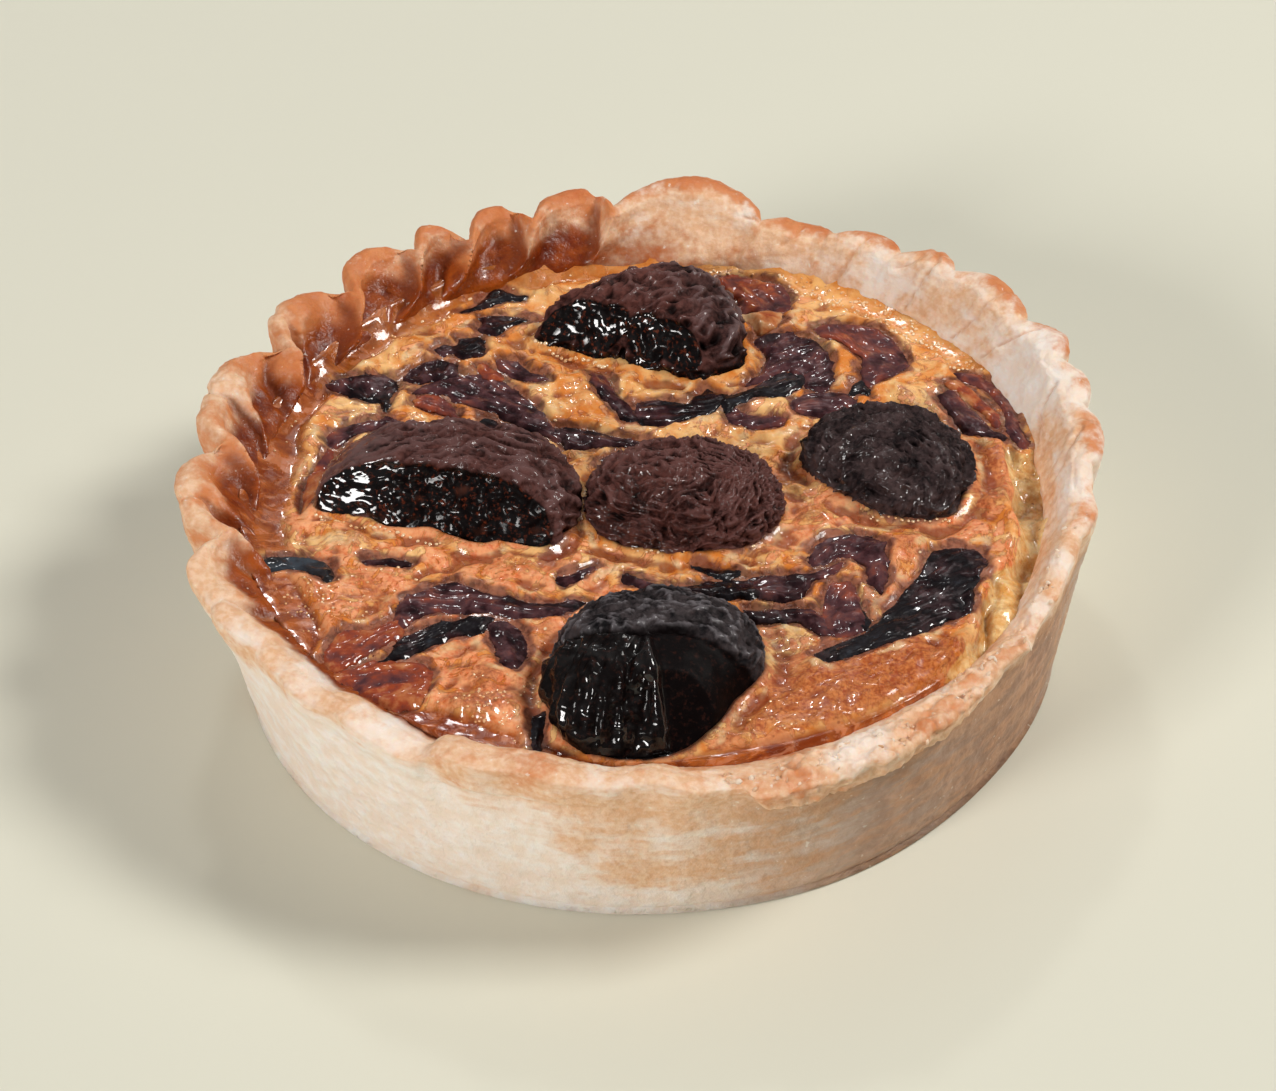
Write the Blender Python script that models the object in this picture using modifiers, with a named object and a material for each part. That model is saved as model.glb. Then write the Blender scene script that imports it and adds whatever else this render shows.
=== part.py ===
"""A small deep mushroom quiche: a crimped pastry case, browned custard, five roast mushroom
pieces and strips of dark, caramelised onion. Sizes are in millimetres, made metres when a
mesh is written. The origin is the centre of the flat base, +Z up, and +Y is the high, crimped back.
Angles go round the case from +X: 90 is the back, 180 the left, 270 the front."""

import math

import bmesh
import bpy
from mathutils import Vector

MM = 0.001

# ---- driving sizes ----
BASE_RADIUS = 53.4
RIM_RADIUS = 58.9
BLANK_HEIGHT = 30.0  # crest of the turned blank, before it is crimped
SHAPED_ABOVE = 20.0  # the wall below this level stays as turned
FLOOR = 4.0
CUSTARD_LEVEL = 24.0
GAP = 0.3
CASE_SEGMENTS = 180
CUSTARD_SEGMENTS = 64
CUSTARD_SHARES = (0.10, 0.21, 0.32, 0.43, 0.53, 0.62, 0.71, 0.78, 0.84, 0.885, 0.92, 0.955, 0.985, 1.0)

# The case's inside, as radius and level, from the floor's edge to just under the crest.
INNER_WALL = ((46.5, 4.2), (50.0, 8.0), (52.9, 24.0), (55.0, 28.8))
# Half of the case's section: up the inside, over the crest and down the outside.
CASE_PROFILE = (
    (0.0, FLOOR),
    *INNER_WALL,
    (57.2, BLANK_HEIGHT),
    (RIM_RADIUS, 28.6),
    (58.2, 24.0),
    (55.6, 10.0),
    (54.2, 2.8),
    (BASE_RADIUS, 0.8),
    (52.0, 0.0),
    (0.0, 0.0),
)

# Crest height by angle: high and crimped behind, low and plain in front.
CREST_HEIGHT = (
    (-36, 25.0), (-20, 27.4), (0, 29.2), (20, 30.2), (44, 30.4), (56, 29.2), (67, 28.6), (75, 30.4),
    (84, 31.8), (100, 31.6), (120, 31.8), (140, 31.0), (160, 31.0), (180, 30.4), (194, 29.2),
    (206, 27.4), (218, 26.6), (229, 25.8), (240, 24.9), (242.5, 26.2), (254, 26.2), (268, 25.6),
    (280, 24.8), (291, 25.0), (302, 25.7), (312, 25.4),
)
# How far the rim leans in (-) or out (+) of the turned blank, by angle.
RIM_LEAN = (
    (-36, -0.5), (-15, -1.2), (15, -0.4), (40, -0.2), (58, -1.0), (68, -1.6), (78, -0.1), (100, -0.9),
    (130, -0.5), (150, -1.0), (170, -0.4), (190, 0.1), (204, 0.6), (218, 0.3), (229, 0.0), (240, 0.2),
    (242.5, -0.6), (254, -0.9), (268, -0.4), (280, 0.5), (291, 0.5), (302, 0.0), (312, -0.2),
)
# How far the whole outer wall, foot included, stands in (-) from the round, by angle.
WALL_PULL = ((-75, 0.0), (-35, -1.5), (-8, -1.2), (20, 0.0), (200, 0.0), (250, 0.3))
# Small unevenness of the crest: waves round the rim, sideways swing, lift and where it starts.
RIM_WEAR = ((17, 0.10, 0.26, 1.0), (29, 0.20, 0.16, 2.1), (43, 0.16, 0.10, 4.3))
# Crimps: where each starts with a tuck, how far its lobe bulges, and how far the tuck folds inwards.
CRIMPS = (
    (-17.0, 0.9, 0.3), (-3.5, 1.2, 0.6), (9.0, 1.0, 0.4), (18.0, 1.5, 0.8), (28.5, 1.3, 0.5),
    (42.5, 1.0, 0.9), (51.5, 1.4, 0.9), (62.0, 1.4, 1.2), (72.5, 2.6, 1.6), (94.0, 2.6, 2.5),
    (106.0, 2.6, 3.2), (116.0, 2.4, 3.2), (124.0, 2.4, 2.8), (136.5, 2.4, 3.6), (152.0, 2.4, 3.4),
    (174.0, 2.0, 2.8), (192.0, 1.6, 2.2), (212.0, 0.0, 0.6),
)
LOBE_SKEW = 0.6  # under 1 puts a lobe's peak near its tuck
TUCK_BEFORE_DEG = 2.2
TUCK_AFTER_DEG = 3.2
# The lap: the rim's pastry is folded outwards over the wall, from its start to where it dies away.
LAP_FROM_DEG, LAP_FADES_DEG, LAP_TO_DEG = 281.5, 300.0, 325.0
LAP_THICK, LAP_EDGE = 1.3, 23.5
# Levels of the turned blank between which each change to it grows from nothing to full.
CRIMP_INSIDE, CRIMP_OUTSIDE = (24.5, 29.0), (11.0, 28.5)
LEAN_INSIDE, LEAN_OUTSIDE = (24.0, 29.0), (10.0, 28.0)
LIFT_SPAN = (25.0, 29.5)

# Swells and hollows of the custard: x, y, half length, half width, turn in degrees, height.
MOUNDS = (
    (-42, -22, 8.5, 7.5, 20, 1.2), (-21, -41, 9.5, 7.0, 80, 1.5), (27, -38, 14, 7.0, 28, 1.5),
    (12, -37, 8.0, 4.5, 75, 0.9), (43, -2, 11, 4.0, 95, 1.4), (31, -14, 3.5, 3.5, 0, 0.9),
    (21, -5, 8.0, 5.0, 70, 0.8), (-17, -16, 6.0, 3.5, -10, 0.6), (-7, -17, 5.0, 3.0, 20, 0.7),
    (-9, 22, 10, 4.2, -55, 0.9), (7, 12.5, 8.0, 3.0, -5, 0.7), (-34, 32, 9.0, 4.5, 40, 0.7),
    (-31, 17, 5.5, 3.0, -15, 0.5), (-43, 16, 7.5, 4.0, 80, 0.7), (15.5, 36, 4.0, 3.0, -20, 1.1),
    (26, 27, 6.0, 2.6, 100, 0.8), (34, 20, 6.0, 4.0, 20, 0.6), (-36, -8, 7.5, 2.6, -15, 0.5),
    (-47, 4, 9.0, 3.5, 95, -0.9), (48.5, -14, 18, 2.4, 80, -1.7), (42.5, -31, 9.0, 2.2, 55, -1.6),
    (-30, -43, 5.0, 2.6, -60, -1.3), (-33, 37, 12, 2.5, 42, -0.5), (2, -50.5, 24, 3.5, 0, 0.8),
)

# Mushroom pieces: plan outline, height above the custard, how far the top leans over, and the flat
# left by the knife: its outward direction and its distance from the piece's middle.
MUSHROOMS = {
    "mushroom_back": {
        "outline": ((-14.5, 33), (-9, 30), (-3, 28), (2, 25), (8, 23), (12.5, 25), (13, 32), (11, 39),
                    (6, 43.5), (0, 43), (-7, 40), (-12, 37)),
        "height": 7.6, "lean": (0.5, 0.5), "knife": (-0.35, -0.75, 0.56), "knife_at": 6.6,
    },
    "mushroom_left": {
        "outline": ((-43, -2), (-36, -4.5), (-28, -7), (-20, -10), (-13, -11.5), (-10, -7), (-9.5, 0),
                    (-12, 5), (-20, 8), (-30, 9.5), (-38, 9), (-42, 4)),
        "height": 7.4, "lean": (0.0, 0.5), "knife": (-0.24, -0.80, 0.55), "knife_at": 6.2,
    },
    "mushroom_middle": {
        "outline": ((-8, -5), (-6, -10), (0, -13), (7, -13.5), (13, -12), (16.5, -7), (15.5, -1),
                    (11, 3), (4, 5), (-2, 4.5), (-6.5, 1)),
        "height": 6.6, "lean": (0.5, 0.5), "knife": (-0.30, -0.72, 0.62), "knife_at": 7.6,
    },
    "mushroom_right": {
        "outline": ((20, 5), (22, 0), (27, -5), (32, -8), (38, -8), (41, -3), (41, 3), (38, 9), (33, 12),
                    (27, 12), (22, 9.5)),
        "height": 4.8, "lean": (0.2, 1.0), "knife": (-0.50, -0.62, 0.60), "knife_at": 8.4,
    },
    "mushroom_front": {
        "outline": ((-12.5, -36), (-13, -43), (-10, -50), (-3, -52.3), (3, -51), (9, -44), (13, -37),
                    (12, -31), (6, -27), (-2, -26), (-9, -29)),
        "height": 8.6, "lean": (-0.5, 0.5), "knife": (0.10, -0.82, 0.56), "knife_at": 9.4,
    },
}
MUSHROOM_DEPTH = 3.6
MUSHROOM_SEGMENTS, MUSHROOM_RINGS = 20, 8
POCKET_TOP = 3.0

# Onion strips and petals: a route whose points give x, y, the lift of the middle over the custard
# and the width there, then the roll of the strip about its own length in degrees.
ONIONS = {
    "onion_back_spike": (((-26.4, 41.4, 0.4, 2.4), (-21.0, 43.4, 1.5, 5.2), (-15.8, 43.6, 0.4, 2.0)), 20),
    "onion_back_petal": (((-23.4, 37.6, 0.3, 2.2), (-19.4, 36.6, 1.0, 4.4), (-14.0, 38.2, 0.3, 1.6)), 12),
    "onion_back_curl": (((-29.6, 33.2, 0.4, 2.2), (-25.2, 31.6, 1.4, 4.6), (-21.0, 32.2, 0.8, 3.2)), 15),
    "onion_back_knot": (((-33.0, 27.2, 0.4, 2.6), (-28.9, 26.8, 1.3, 4.8), (-24.6, 27.6, 0.5, 2.8)), 10),
    "onion_left_petal": (((-41.8, 24.4, 0.3, 2.8), (-37.6, 23.2, 1.3, 6.2), (-33.8, 20.8, 0.5, 2.6)), 12),
    "onion_long": (((-31.6, 20.6, 0.5, 3.6), (-25.6, 20.8, 1.4, 7.6), (-18.4, 18.2, 1.5, 7.8),
                    (-11.4, 11.8, 0.5, 3.2)), 8),
    "onion_sliver": (((-20.4, 28.4, 0.4, 1.8), (-16.2, 26.2, 1.0, 3.4), (-12.2, 23.6, 0.3, 1.4)), 15),
    "onion_left_tail": (((-43.6, 11.6, 0.3, 2.0), (-40.6, 15.2, 1.0, 3.8), (-35.6, 17.0, 0.3, 1.8)), 15),
    "onion_centre": (((-11.6, 7.6, 0.4, 2.4), (-6.0, 9.4, 1.1, 4.2), (-0.4, 9.6, 0.3, 1.8)), 15),
    "onion_cap_arm": (((-8.2, 25.2, 0.4, 2.2), (-6.2, 20.2, 1.1, 4.2), (-2.8, 16.6, 0.5, 2.6)), 15),
    "onion_cap_bowl": (((-1.0, 16.8, 0.4, 3.0), (4.0, 15.4, 1.4, 6.2), (9.4, 17.2, 0.5, 3.2)), -12),
    "onion_black_band": (((11.0, 19.6, 0.5, 3.4), (16.2, 20.4, 1.5, 5.6), (21.6, 23.2, 0.6, 3.0)), -12),
    "onion_purple_broad": (((14.6, 29.6, 0.4, 4.0), (19.6, 28.0, 1.4, 8.6), (24.4, 25.8, 0.5, 4.8)), 8),
    "onion_purple_low": (((18.8, 16.6, 0.4, 2.6), (22.8, 15.4, 1.3, 5.2), (27.2, 17.0, 0.4, 2.6)), -5),
    "onion_red_petal": (((23.6, 34.2, 0.4, 2.8), (29.2, 30.2, 1.2, 7.2), (33.2, 25.4, 1.2, 6.4),
                         (30.6, 21.4, 0.4, 2.6)), 8),
    "onion_oval": (((9.6, 14.0, 0.3, 2.2), (13.4, 13.0, 0.9, 4.4), (17.6, 12.6, 0.3, 1.8)), -5),
    "onion_knob": (((11.4, 47.4, 0.5, 3.6), (15.6, 44.6, 1.8, 7.0), (20.2, 39.4, 0.6, 3.6)), 10),
    "onion_pale": (((12.8, 37.2, 0.4, 1.8), (15.9, 35.6, 1.1, 3.4), (19.6, 35.2, 0.4, 1.8)), 0),
    "onion_ring_outer": (((41.4, 21.8, 0.4, 1.8), (45.9, 18.0, 1.4, 3.2), (48.2, 11.6, 1.2, 3.0),
                          (49.2, 5.8, 0.3, 1.4)), 25),
    "onion_ring_inner": (((38.8, 17.6, 0.4, 2.4), (41.0, 13.6, 1.3, 4.6), (44.4, 9.8, 1.2, 4.2),
                          (46.6, 5.0, 0.3, 1.6)), 12),
    "onion_grey": (((-48.4, -12.2, 0.3, 2.4), (-45.6, -12.4, 1.0, 4.6), (-42.8, -13.6, 1.0, 4.4),
                    (-39.6, -16.4, 0.3, 1.6)), 10),
    "onion_arch": (((-33.8, -22.8, 0.4, 2.8), (-28.6, -20.2, 1.5, 4.8), (-21.6, -20.4, 1.5, 4.6),
                    (-13.4, -24.0, 0.5, 2.2)), 12),
    "onion_red_strip": (((-41.4, -27.2, 0.4, 2.4), (-38.6, -25.2, 1.1, 4.0), (-36.0, -22.4, 0.5, 2.0)), -12),
    "onion_strand": (((-34.6, -32.0, 0.4, 2.4), (-29.8, -29.0, 1.4, 4.6), (-25.0, -26.0, 1.4, 4.4),
                      (-20.6, -25.8, 0.5, 2.6)), -10),
    "onion_down_strand": (((-18.2, -27.0, 0.5, 2.6), (-17.0, -31.0, 1.1, 4.2), (-16.4, -35.2, 0.3, 1.8)), 10),
    "onion_rim_petal": (((-37.6, -31.8, 0.4, 4.0), (-32.6, -34.4, 1.4, 7.6), (-27.2, -36.6, 0.5, 4.2)), -8),
    "onion_corner": (((-14.9, -43.6, 0.3, 1.8), (-15.4, -46.6, 1.0, 2.8), (-14.8, -48.8, 0.3, 1.6)), 20),
    "onion_under": (((-0.6, -17.0, 0.3, 2.2), (6.0, -18.2, 1.1, 4.4), (12.2, -20.8, 0.5, 2.4)), 8),
    "onion_maroon": (((13.8, -19.4, 0.4, 2.6), (18.0, -20.0, 1.2, 4.2), (22.6, -18.6, 0.5, 2.6)), -10),
    "onion_curl": (((19.4, -15.4, 0.4, 2.8), (23.6, -13.4, 1.4, 5.0), (27.8, -15.0, 1.5, 5.0),
                    (29.0, -20.4, 0.4, 2.6)), 15),
    "onion_tongue": (((23.8, -23.4, 0.4, 3.0), (24.6, -28.2, 1.3, 5.8), (23.2, -32.0, 0.5, 3.4)), 10),
    "onion_low_strip": (((11.4, -25.2, 0.3, 2.4), (15.2, -26.8, 1.1, 4.6), (19.2, -28.2, 0.4, 2.6)), 0),
    "onion_great": (((39.4, -15.4, 0.5, 4.8), (39.2, -21.8, 1.8, 8.8), (35.2, -28.2, 1.9, 8.4),
                     (28.4, -33.6, 1.3, 5.4), (20.8, -36.6, 0.4, 2.2)), -15),
}
ONION_THICK = 1.8
ONION_CUP = 0.11  # how far the edges droop, of the width
ONION_SIDES = 8

COLOURS = {
    "pastry": ((0.80, 0.56, 0.36), 0.6),
    "custard": ((0.66, 0.33, 0.10), 0.35),
    "mushroom": ((0.055, 0.03, 0.022), 0.3),
    "onion": ((0.10, 0.035, 0.03), 0.25),
}


# ---- helpers ----
def blend(low, high, value):
    """0 below low, 1 above high, and smooth between."""
    t = min(1.0, max(0.0, (value - low) / (high - low)))
    return t * t * (3 - 2 * t)


def around(table, angle):
    """A value that runs smoothly round the circle through the table's (angle, value) pairs."""
    angle = (angle - table[0][0]) % 360 + table[0][0]
    pairs = table + ((table[0][0] + 360, table[0][1]),)
    for (a, value_a), (b, value_b) in zip(pairs, pairs[1:]):
        if a <= angle <= b:
            return value_a + (value_b - value_a) * blend(a, b, angle)
    return table[0][1]


def along(values, t):
    """A smooth curve through the values, as numbers or vectors, at t from 0 to 1."""
    place = t * (len(values) - 1)
    i = min(int(place), len(values) - 2)
    u = place - i
    before = values[max(i - 1, 0)]
    a, b = values[i], values[i + 1]
    after = values[min(i + 2, len(values) - 1)]
    leaving, arriving = (b - before) * 0.5, (after - a) * 0.5
    eased = 3 * u**2 - 2 * u**3
    return a * (1 - eased) + b * eased + leaving * (u**3 - 2 * u**2 + u) + arriving * (u**3 - u**2)


def material(name):
    made = bpy.data.materials.get(name) or bpy.data.materials.new(name)
    made.use_nodes = True
    colour, roughness = COLOURS[name]
    shader = made.node_tree.nodes["Principled BSDF"]
    shader.inputs["Base Color"].default_value = (*colour, 1)
    shader.inputs["Roughness"].default_value = roughness
    return made


def piece(name, form, collection, finish):
    """An object in the collection from a bmesh in millimetres."""
    bmesh.ops.recalc_face_normals(form, faces=form.faces)
    bmesh.ops.scale(form, vec=(MM, MM, MM), verts=form.verts)
    mesh = bpy.data.meshes.new(name)
    form.to_mesh(mesh)
    form.free()
    mesh.materials.append(material(finish))
    mesh.shade_smooth()
    made = bpy.data.objects.new(name, mesh)
    collection.objects.link(made)
    return made


# ---- pastry case ----
def crimp(angle):
    """How far a crimp moves the rim out, and how much it lifts it, at this angle."""
    angle = (angle - CRIMPS[0][0]) % 360 + CRIMPS[0][0]
    out, lift = 0.0, 0.0
    for (start, bulge, tuck), (end, _, _) in zip(CRIMPS, CRIMPS[1:]):
        if start <= angle <= end:
            lobe = max(0.0, math.sin(math.pi * ((angle - start) / (end - start)) ** LOBE_SKEW)) ** 0.8
            out += bulge * lobe
            lift += 0.3 * bulge * lobe
    for start, _, tuck in CRIMPS:
        away = angle - start
        reach = TUCK_AFTER_DEG if away > 0 else TUCK_BEFORE_DEG
        fold = tuck * math.exp(-((away / reach) ** 2))
        out -= fold
        lift -= 0.3 * fold
    return out, lift


def wear(angle):
    """The crest's small unevenness at this angle: outwards and upwards."""
    turn = math.radians(angle)
    out = sum(swing * math.sin(waves * turn + start) for waves, swing, _, start in RIM_WEAR)
    return out, sum(lift * math.cos(waves * turn + start) for waves, _, lift, start in RIM_WEAR)


def inner_radius(z):
    """The turned blank's inside at this level."""
    for (low_r, low_z), (high_r, high_z) in zip(INNER_WALL, INNER_WALL[1:]):
        if z <= high_z:
            break
    return low_r + (high_r - low_r) * (z - low_z) / (high_z - low_z)


def wall_stretch(angle):
    return (around(CREST_HEIGHT, angle) - SHAPED_ABOVE) / (BLANK_HEIGHT - SHAPED_ABOVE)


def lap(angle, z):
    """How far the folded lap stands out from the wall."""
    span = blend(LAP_FROM_DEG, LAP_FROM_DEG + 3, angle) * (1 - blend(LAP_FADES_DEG, LAP_TO_DEG, angle))
    return LAP_THICK * span * blend(LAP_EDGE, LAP_EDGE + 2.5, z) * (1 - blend(BLANK_HEIGHT - 2, BLANK_HEIGHT + 1, z))


def shape_case_point(x, y, z):
    """Where a point of the turned blank goes when the rim is crimped."""
    radius, angle = math.hypot(x, y), math.degrees(math.atan2(y, x))
    inside = z >= FLOOR and radius < inner_radius(z) + 0.5
    if inside and z <= SHAPED_ABOVE or radius == 0:
        return x, y, z
    out, lift = (a + b for a, b in zip(crimp(angle), wear(angle)))
    shift = out * blend(*(CRIMP_INSIDE if inside else CRIMP_OUTSIDE), z)
    shift += around(RIM_LEAN, angle) * blend(*(LEAN_INSIDE if inside else LEAN_OUTSIDE), z)
    if not inside:
        shift += around(WALL_PULL, angle) + lap(angle % 360, z)
    if z > SHAPED_ABOVE:
        z = SHAPED_ABOVE + (z - SHAPED_ABOVE) * wall_stretch(angle) + lift * blend(*LIFT_SPAN, z)
    share = (radius + shift) / radius
    return x * share, y * share, z


def make_case(collection):
    outline = bpy.data.meshes.new("case_profile")
    points = [(r * MM, 0.0, z * MM) for r, z in CASE_PROFILE]
    outline.from_pydata(points, [(i, i + 1) for i in range(len(points) - 1)], [])
    blank = bpy.data.objects.new("case_blank", outline)
    collection.objects.link(blank)
    turn = blank.modifiers.new("turn", "SCREW")
    turn.steps = turn.render_steps = CASE_SEGMENTS
    turn.use_merge_vertices = True
    turn.merge_threshold = 0.00001
    bpy.context.view_layer.update()
    turned = bpy.data.meshes.new_from_object(blank.evaluated_get(bpy.context.evaluated_depsgraph_get()))
    bpy.data.objects.remove(blank)
    form = bmesh.new()
    form.from_mesh(turned)
    bpy.data.meshes.remove(turned)
    bmesh.ops.remove_doubles(form, verts=form.verts, dist=0.00001)
    for v in form.verts:
        v.co = Vector(shape_case_point(*(v.co / MM)))
    return piece("pastry_case", form, collection, "pastry")


# ---- custard ----
def custard_height(x, y):
    level = CUSTARD_LEVEL
    for mx, my, long_half, wide_half, turn, height in MOUNDS:
        c, s = math.cos(math.radians(turn)), math.sin(math.radians(turn))
        dx, dy = x - mx, y - my
        along_it, across_it = (dx * c + dy * s) / long_half, (dy * c - dx * s) / wide_half
        level += height * math.exp(-1.4 * (along_it**2 + across_it**2))
    return level


def custard_edge(angle, z):
    """The custard's side at this level: just clear of the case's inside."""
    blank_z = z if z < SHAPED_ABOVE else SHAPED_ABOVE + (z - SHAPED_ABOVE) / wall_stretch(angle)
    return inner_radius(min(blank_z, INNER_WALL[2][1])) - GAP


def make_custard(collection):
    """Rings from the middle of the top out to the edge, then down the side and in under the bottom."""
    sections = [(share * custard_edge(0, 23.0), None) for share in CUSTARD_SHARES]
    sections += [(None, SHAPED_ABOVE), (None, 8.2), (INNER_WALL[0][0] - GAP, INNER_WALL[0][1] + GAP)]
    turns = [math.radians(360 * j / CUSTARD_SEGMENTS) for j in range(CUSTARD_SEGMENTS)]
    form = bmesh.new()
    rings = []
    for radius, level in sections:
        ring = []
        for turn in turns:
            r = radius or custard_edge(math.degrees(turn), level)
            x, y = r * math.cos(turn), r * math.sin(turn)
            ring.append(form.verts.new((x, y, level or custard_height(x, y))))
        rings.append(ring)
    top = form.verts.new((0, 0, custard_height(0, 0)))
    for j in range(CUSTARD_SEGMENTS):
        k = (j + 1) % CUSTARD_SEGMENTS
        form.faces.new((top, rings[0][j], rings[0][k]))
        for inner, outer in zip(rings, rings[1:]):
            form.faces.new((inner[j], outer[j], outer[k], inner[k]))
    form.faces.new(rings[-1][::-1])
    return piece("custard", form, collection, "custard")


# ---- mushrooms ----
def mushroom_place(shape):
    corners = [Vector(p) for p in shape["outline"]]
    return sum(corners, Vector((0, 0))) / len(corners)


def mushroom_reach(shape):
    """The piece's plan outline as pairs of angle and reach from its middle."""
    middle = mushroom_place(shape)
    arms = [Vector(p) - middle for p in shape["outline"]]
    return tuple(sorted((math.degrees(math.atan2(arm.y, arm.x)), arm.length) for arm in arms))


def mushroom_form(shape):
    """A dome on the piece's outline, flat where the knife went, over a sunk, flat-bottomed foot."""
    middle, reaches = mushroom_place(shape), mushroom_reach(shape)
    knife, level = Vector(shape["knife"]).normalized(), custard_height(*middle)
    form = bmesh.new()
    bmesh.ops.create_uvsphere(form, u_segments=MUSHROOM_SEGMENTS, v_segments=MUSHROOM_RINGS, radius=1.0)
    for v in form.verts:
        angle, flat, rise = math.atan2(v.co.y, v.co.x), math.hypot(v.co.x, v.co.y), v.co.z
        reach = around(reaches, math.degrees(angle)) * flat ** (0.8 if rise > 0 else 0.5)
        lift = shape["height"] * rise**0.9 if rise > 0 else -MUSHROOM_DEPTH * min(1, -1.15 * rise)
        place = Vector((reach * math.cos(angle), reach * math.sin(angle), lift))
        if rise > 0:
            place.xy += Vector(shape["lean"]) * rise
            over = place.dot(knife) - shape["knife_at"]
            if over > 0:
                place -= knife * over * 0.85
        v.co = place + Vector((*middle, level))
    return form


def mushroom_pocket(shape):
    """The straight-sided pocket that the piece sinks into."""
    middle, reaches = mushroom_place(shape), mushroom_reach(shape)
    level = custard_height(*middle)
    form = bmesh.new()
    bmesh.ops.create_cone(form, cap_ends=True, segments=MUSHROOM_SEGMENTS, radius1=1, radius2=1, depth=2)
    for v in form.verts:
        angle = math.atan2(v.co.y, v.co.x)
        reach = around(reaches, math.degrees(angle)) + GAP / math.cos(math.pi / MUSHROOM_SEGMENTS) + 0.1
        height = POCKET_TOP if v.co.z > 0 else -MUSHROOM_DEPTH - GAP
        v.co = Vector((*middle, level)) + Vector((reach * math.cos(angle), reach * math.sin(angle), height))
    return form


# ---- onions ----
def onion_sections(strip):
    """The strip's stations: middle, ways along, across and up, half the width, half the thickness."""
    route, roll = strip
    points = [Vector((x, y, custard_height(x, y) + lift)) for x, y, lift, _ in route]
    widths = [width for _, _, _, width in route]
    stations = 2 * len(route) - 1
    c, s = math.cos(math.radians(roll)), math.sin(math.radians(roll))
    for i in range(stations):
        t = i / (stations - 1)
        ahead = (along(points, min(1, t + 0.02)) - along(points, max(0, t - 0.02))).normalized()
        side = ahead.cross(Vector((0, 0, 1))).normalized()
        up = side.cross(ahead)
        deep = ONION_THICK / 4 * (1 + math.sin(math.pi * t) ** 0.5)
        yield along(points, t), ahead, side * c + up * s, up * c - side * s, along(widths, t) / 2, deep


def loft(rings):
    """A closed form through rings of equally many points."""
    form = bmesh.new()
    rings = [[form.verts.new(p) for p in ring] for ring in rings]
    for a, b in zip(rings, rings[1:]):
        for j in range(len(a)):
            k = (j + 1) % len(a)
            form.faces.new((a[j], a[k], b[k], b[j]))
    form.faces.new(rings[0][::-1])
    form.faces.new(rings[-1])
    bmesh.ops.triangulate(form, faces=form.faces)
    return form


def onion_form(strip):
    """A strip with rounded edges lofted along its route, its edges drooping, rolled about its length."""
    rings = []
    for middle, _, across, up, half, deep in onion_sections(strip):
        turns = [2 * math.pi * j / ONION_SIDES for j in range(ONION_SIDES)]
        droop = 2 * ONION_CUP * half
        rings.append([middle + across * (half * math.cos(t)) + up * (deep * math.sin(t) - droop * math.cos(t) ** 2)
                      for t in turns])
    return loft(rings)


def onion_pocket(strip):
    """The box-section trench that the strip lies in."""
    sections = list(onion_sections(strip))
    rings = []
    for i, (middle, ahead, across, up, half, deep) in enumerate(sections):
        ends = {0: -1, len(sections) - 1: 1}
        middle = middle + ahead * (ends.get(i, 0) * (GAP + 0.05))
        side = across * (half + GAP + 0.05)
        low = -up * (deep + 2 * ONION_CUP * half + GAP)
        high = up * POCKET_TOP
        rings.append([middle + side + high, middle - side + high, middle - side + low, middle + side + low])
    return loft(rings)


def boxes_meet(a, b):
    low_a, high_a = (Vector(map(f, zip(*[v.co for v in a.data.vertices]))) for f in (min, max))
    low_b, high_b = (Vector(map(f, zip(*[v.co for v in b.data.vertices]))) for f in (min, max))
    return all(low_a[i] < high_b[i] and low_b[i] < high_a[i] for i in range(3))


def cut(target, cutters):
    """Takes the cutters out of the target, and leaves the result as its mesh."""
    if not cutters:
        return
    for cutter in cutters:
        knife = target.modifiers.new(f"clear_{cutter.name}", "BOOLEAN")
        knife.operation = "DIFFERENCE"
        knife.object = cutter
    bpy.context.view_layer.update()
    done = bpy.data.meshes.new_from_object(target.evaluated_get(bpy.context.evaluated_depsgraph_get()))
    target.modifiers.clear()
    old, target.data = target.data, done
    bpy.data.meshes.remove(old)


def main():
    for old in list(bpy.data.objects):
        bpy.data.objects.remove(old)
    quiche = bpy.data.collections.new("mushroom_quiche")
    pockets = bpy.data.collections.new("pocket_cutters")
    pockets.hide_render = True
    bpy.context.scene.collection.children.link(quiche)
    bpy.context.scene.collection.children.link(pockets)

    make_case(quiche)
    custard = make_custard(quiche)
    cutters = []
    toppings = [(n, mushroom_form(s), mushroom_pocket(s), "mushroom") for n, s in MUSHROOMS.items()]
    toppings += [(n, onion_form(s), onion_pocket(s), "onion") for n, s in ONIONS.items()]
    for name, form, pocket, finish in toppings:
        topping = piece(name, form, quiche, finish)
        cut(topping, [c for c in cutters if boxes_meet(c, topping)])
        cutter = piece(f"pocket_{name}", pocket, pockets, finish)
        cutter.hide_render = True
        cutter.display_type = "WIRE"
        cutters.append(cutter)
    cut(custard, cutters)


main()
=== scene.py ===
import math

import bpy
import numpy as np
from mathutils import Matrix, Vector
from mathutils.geometry import delaunay_2d_cdt


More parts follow.
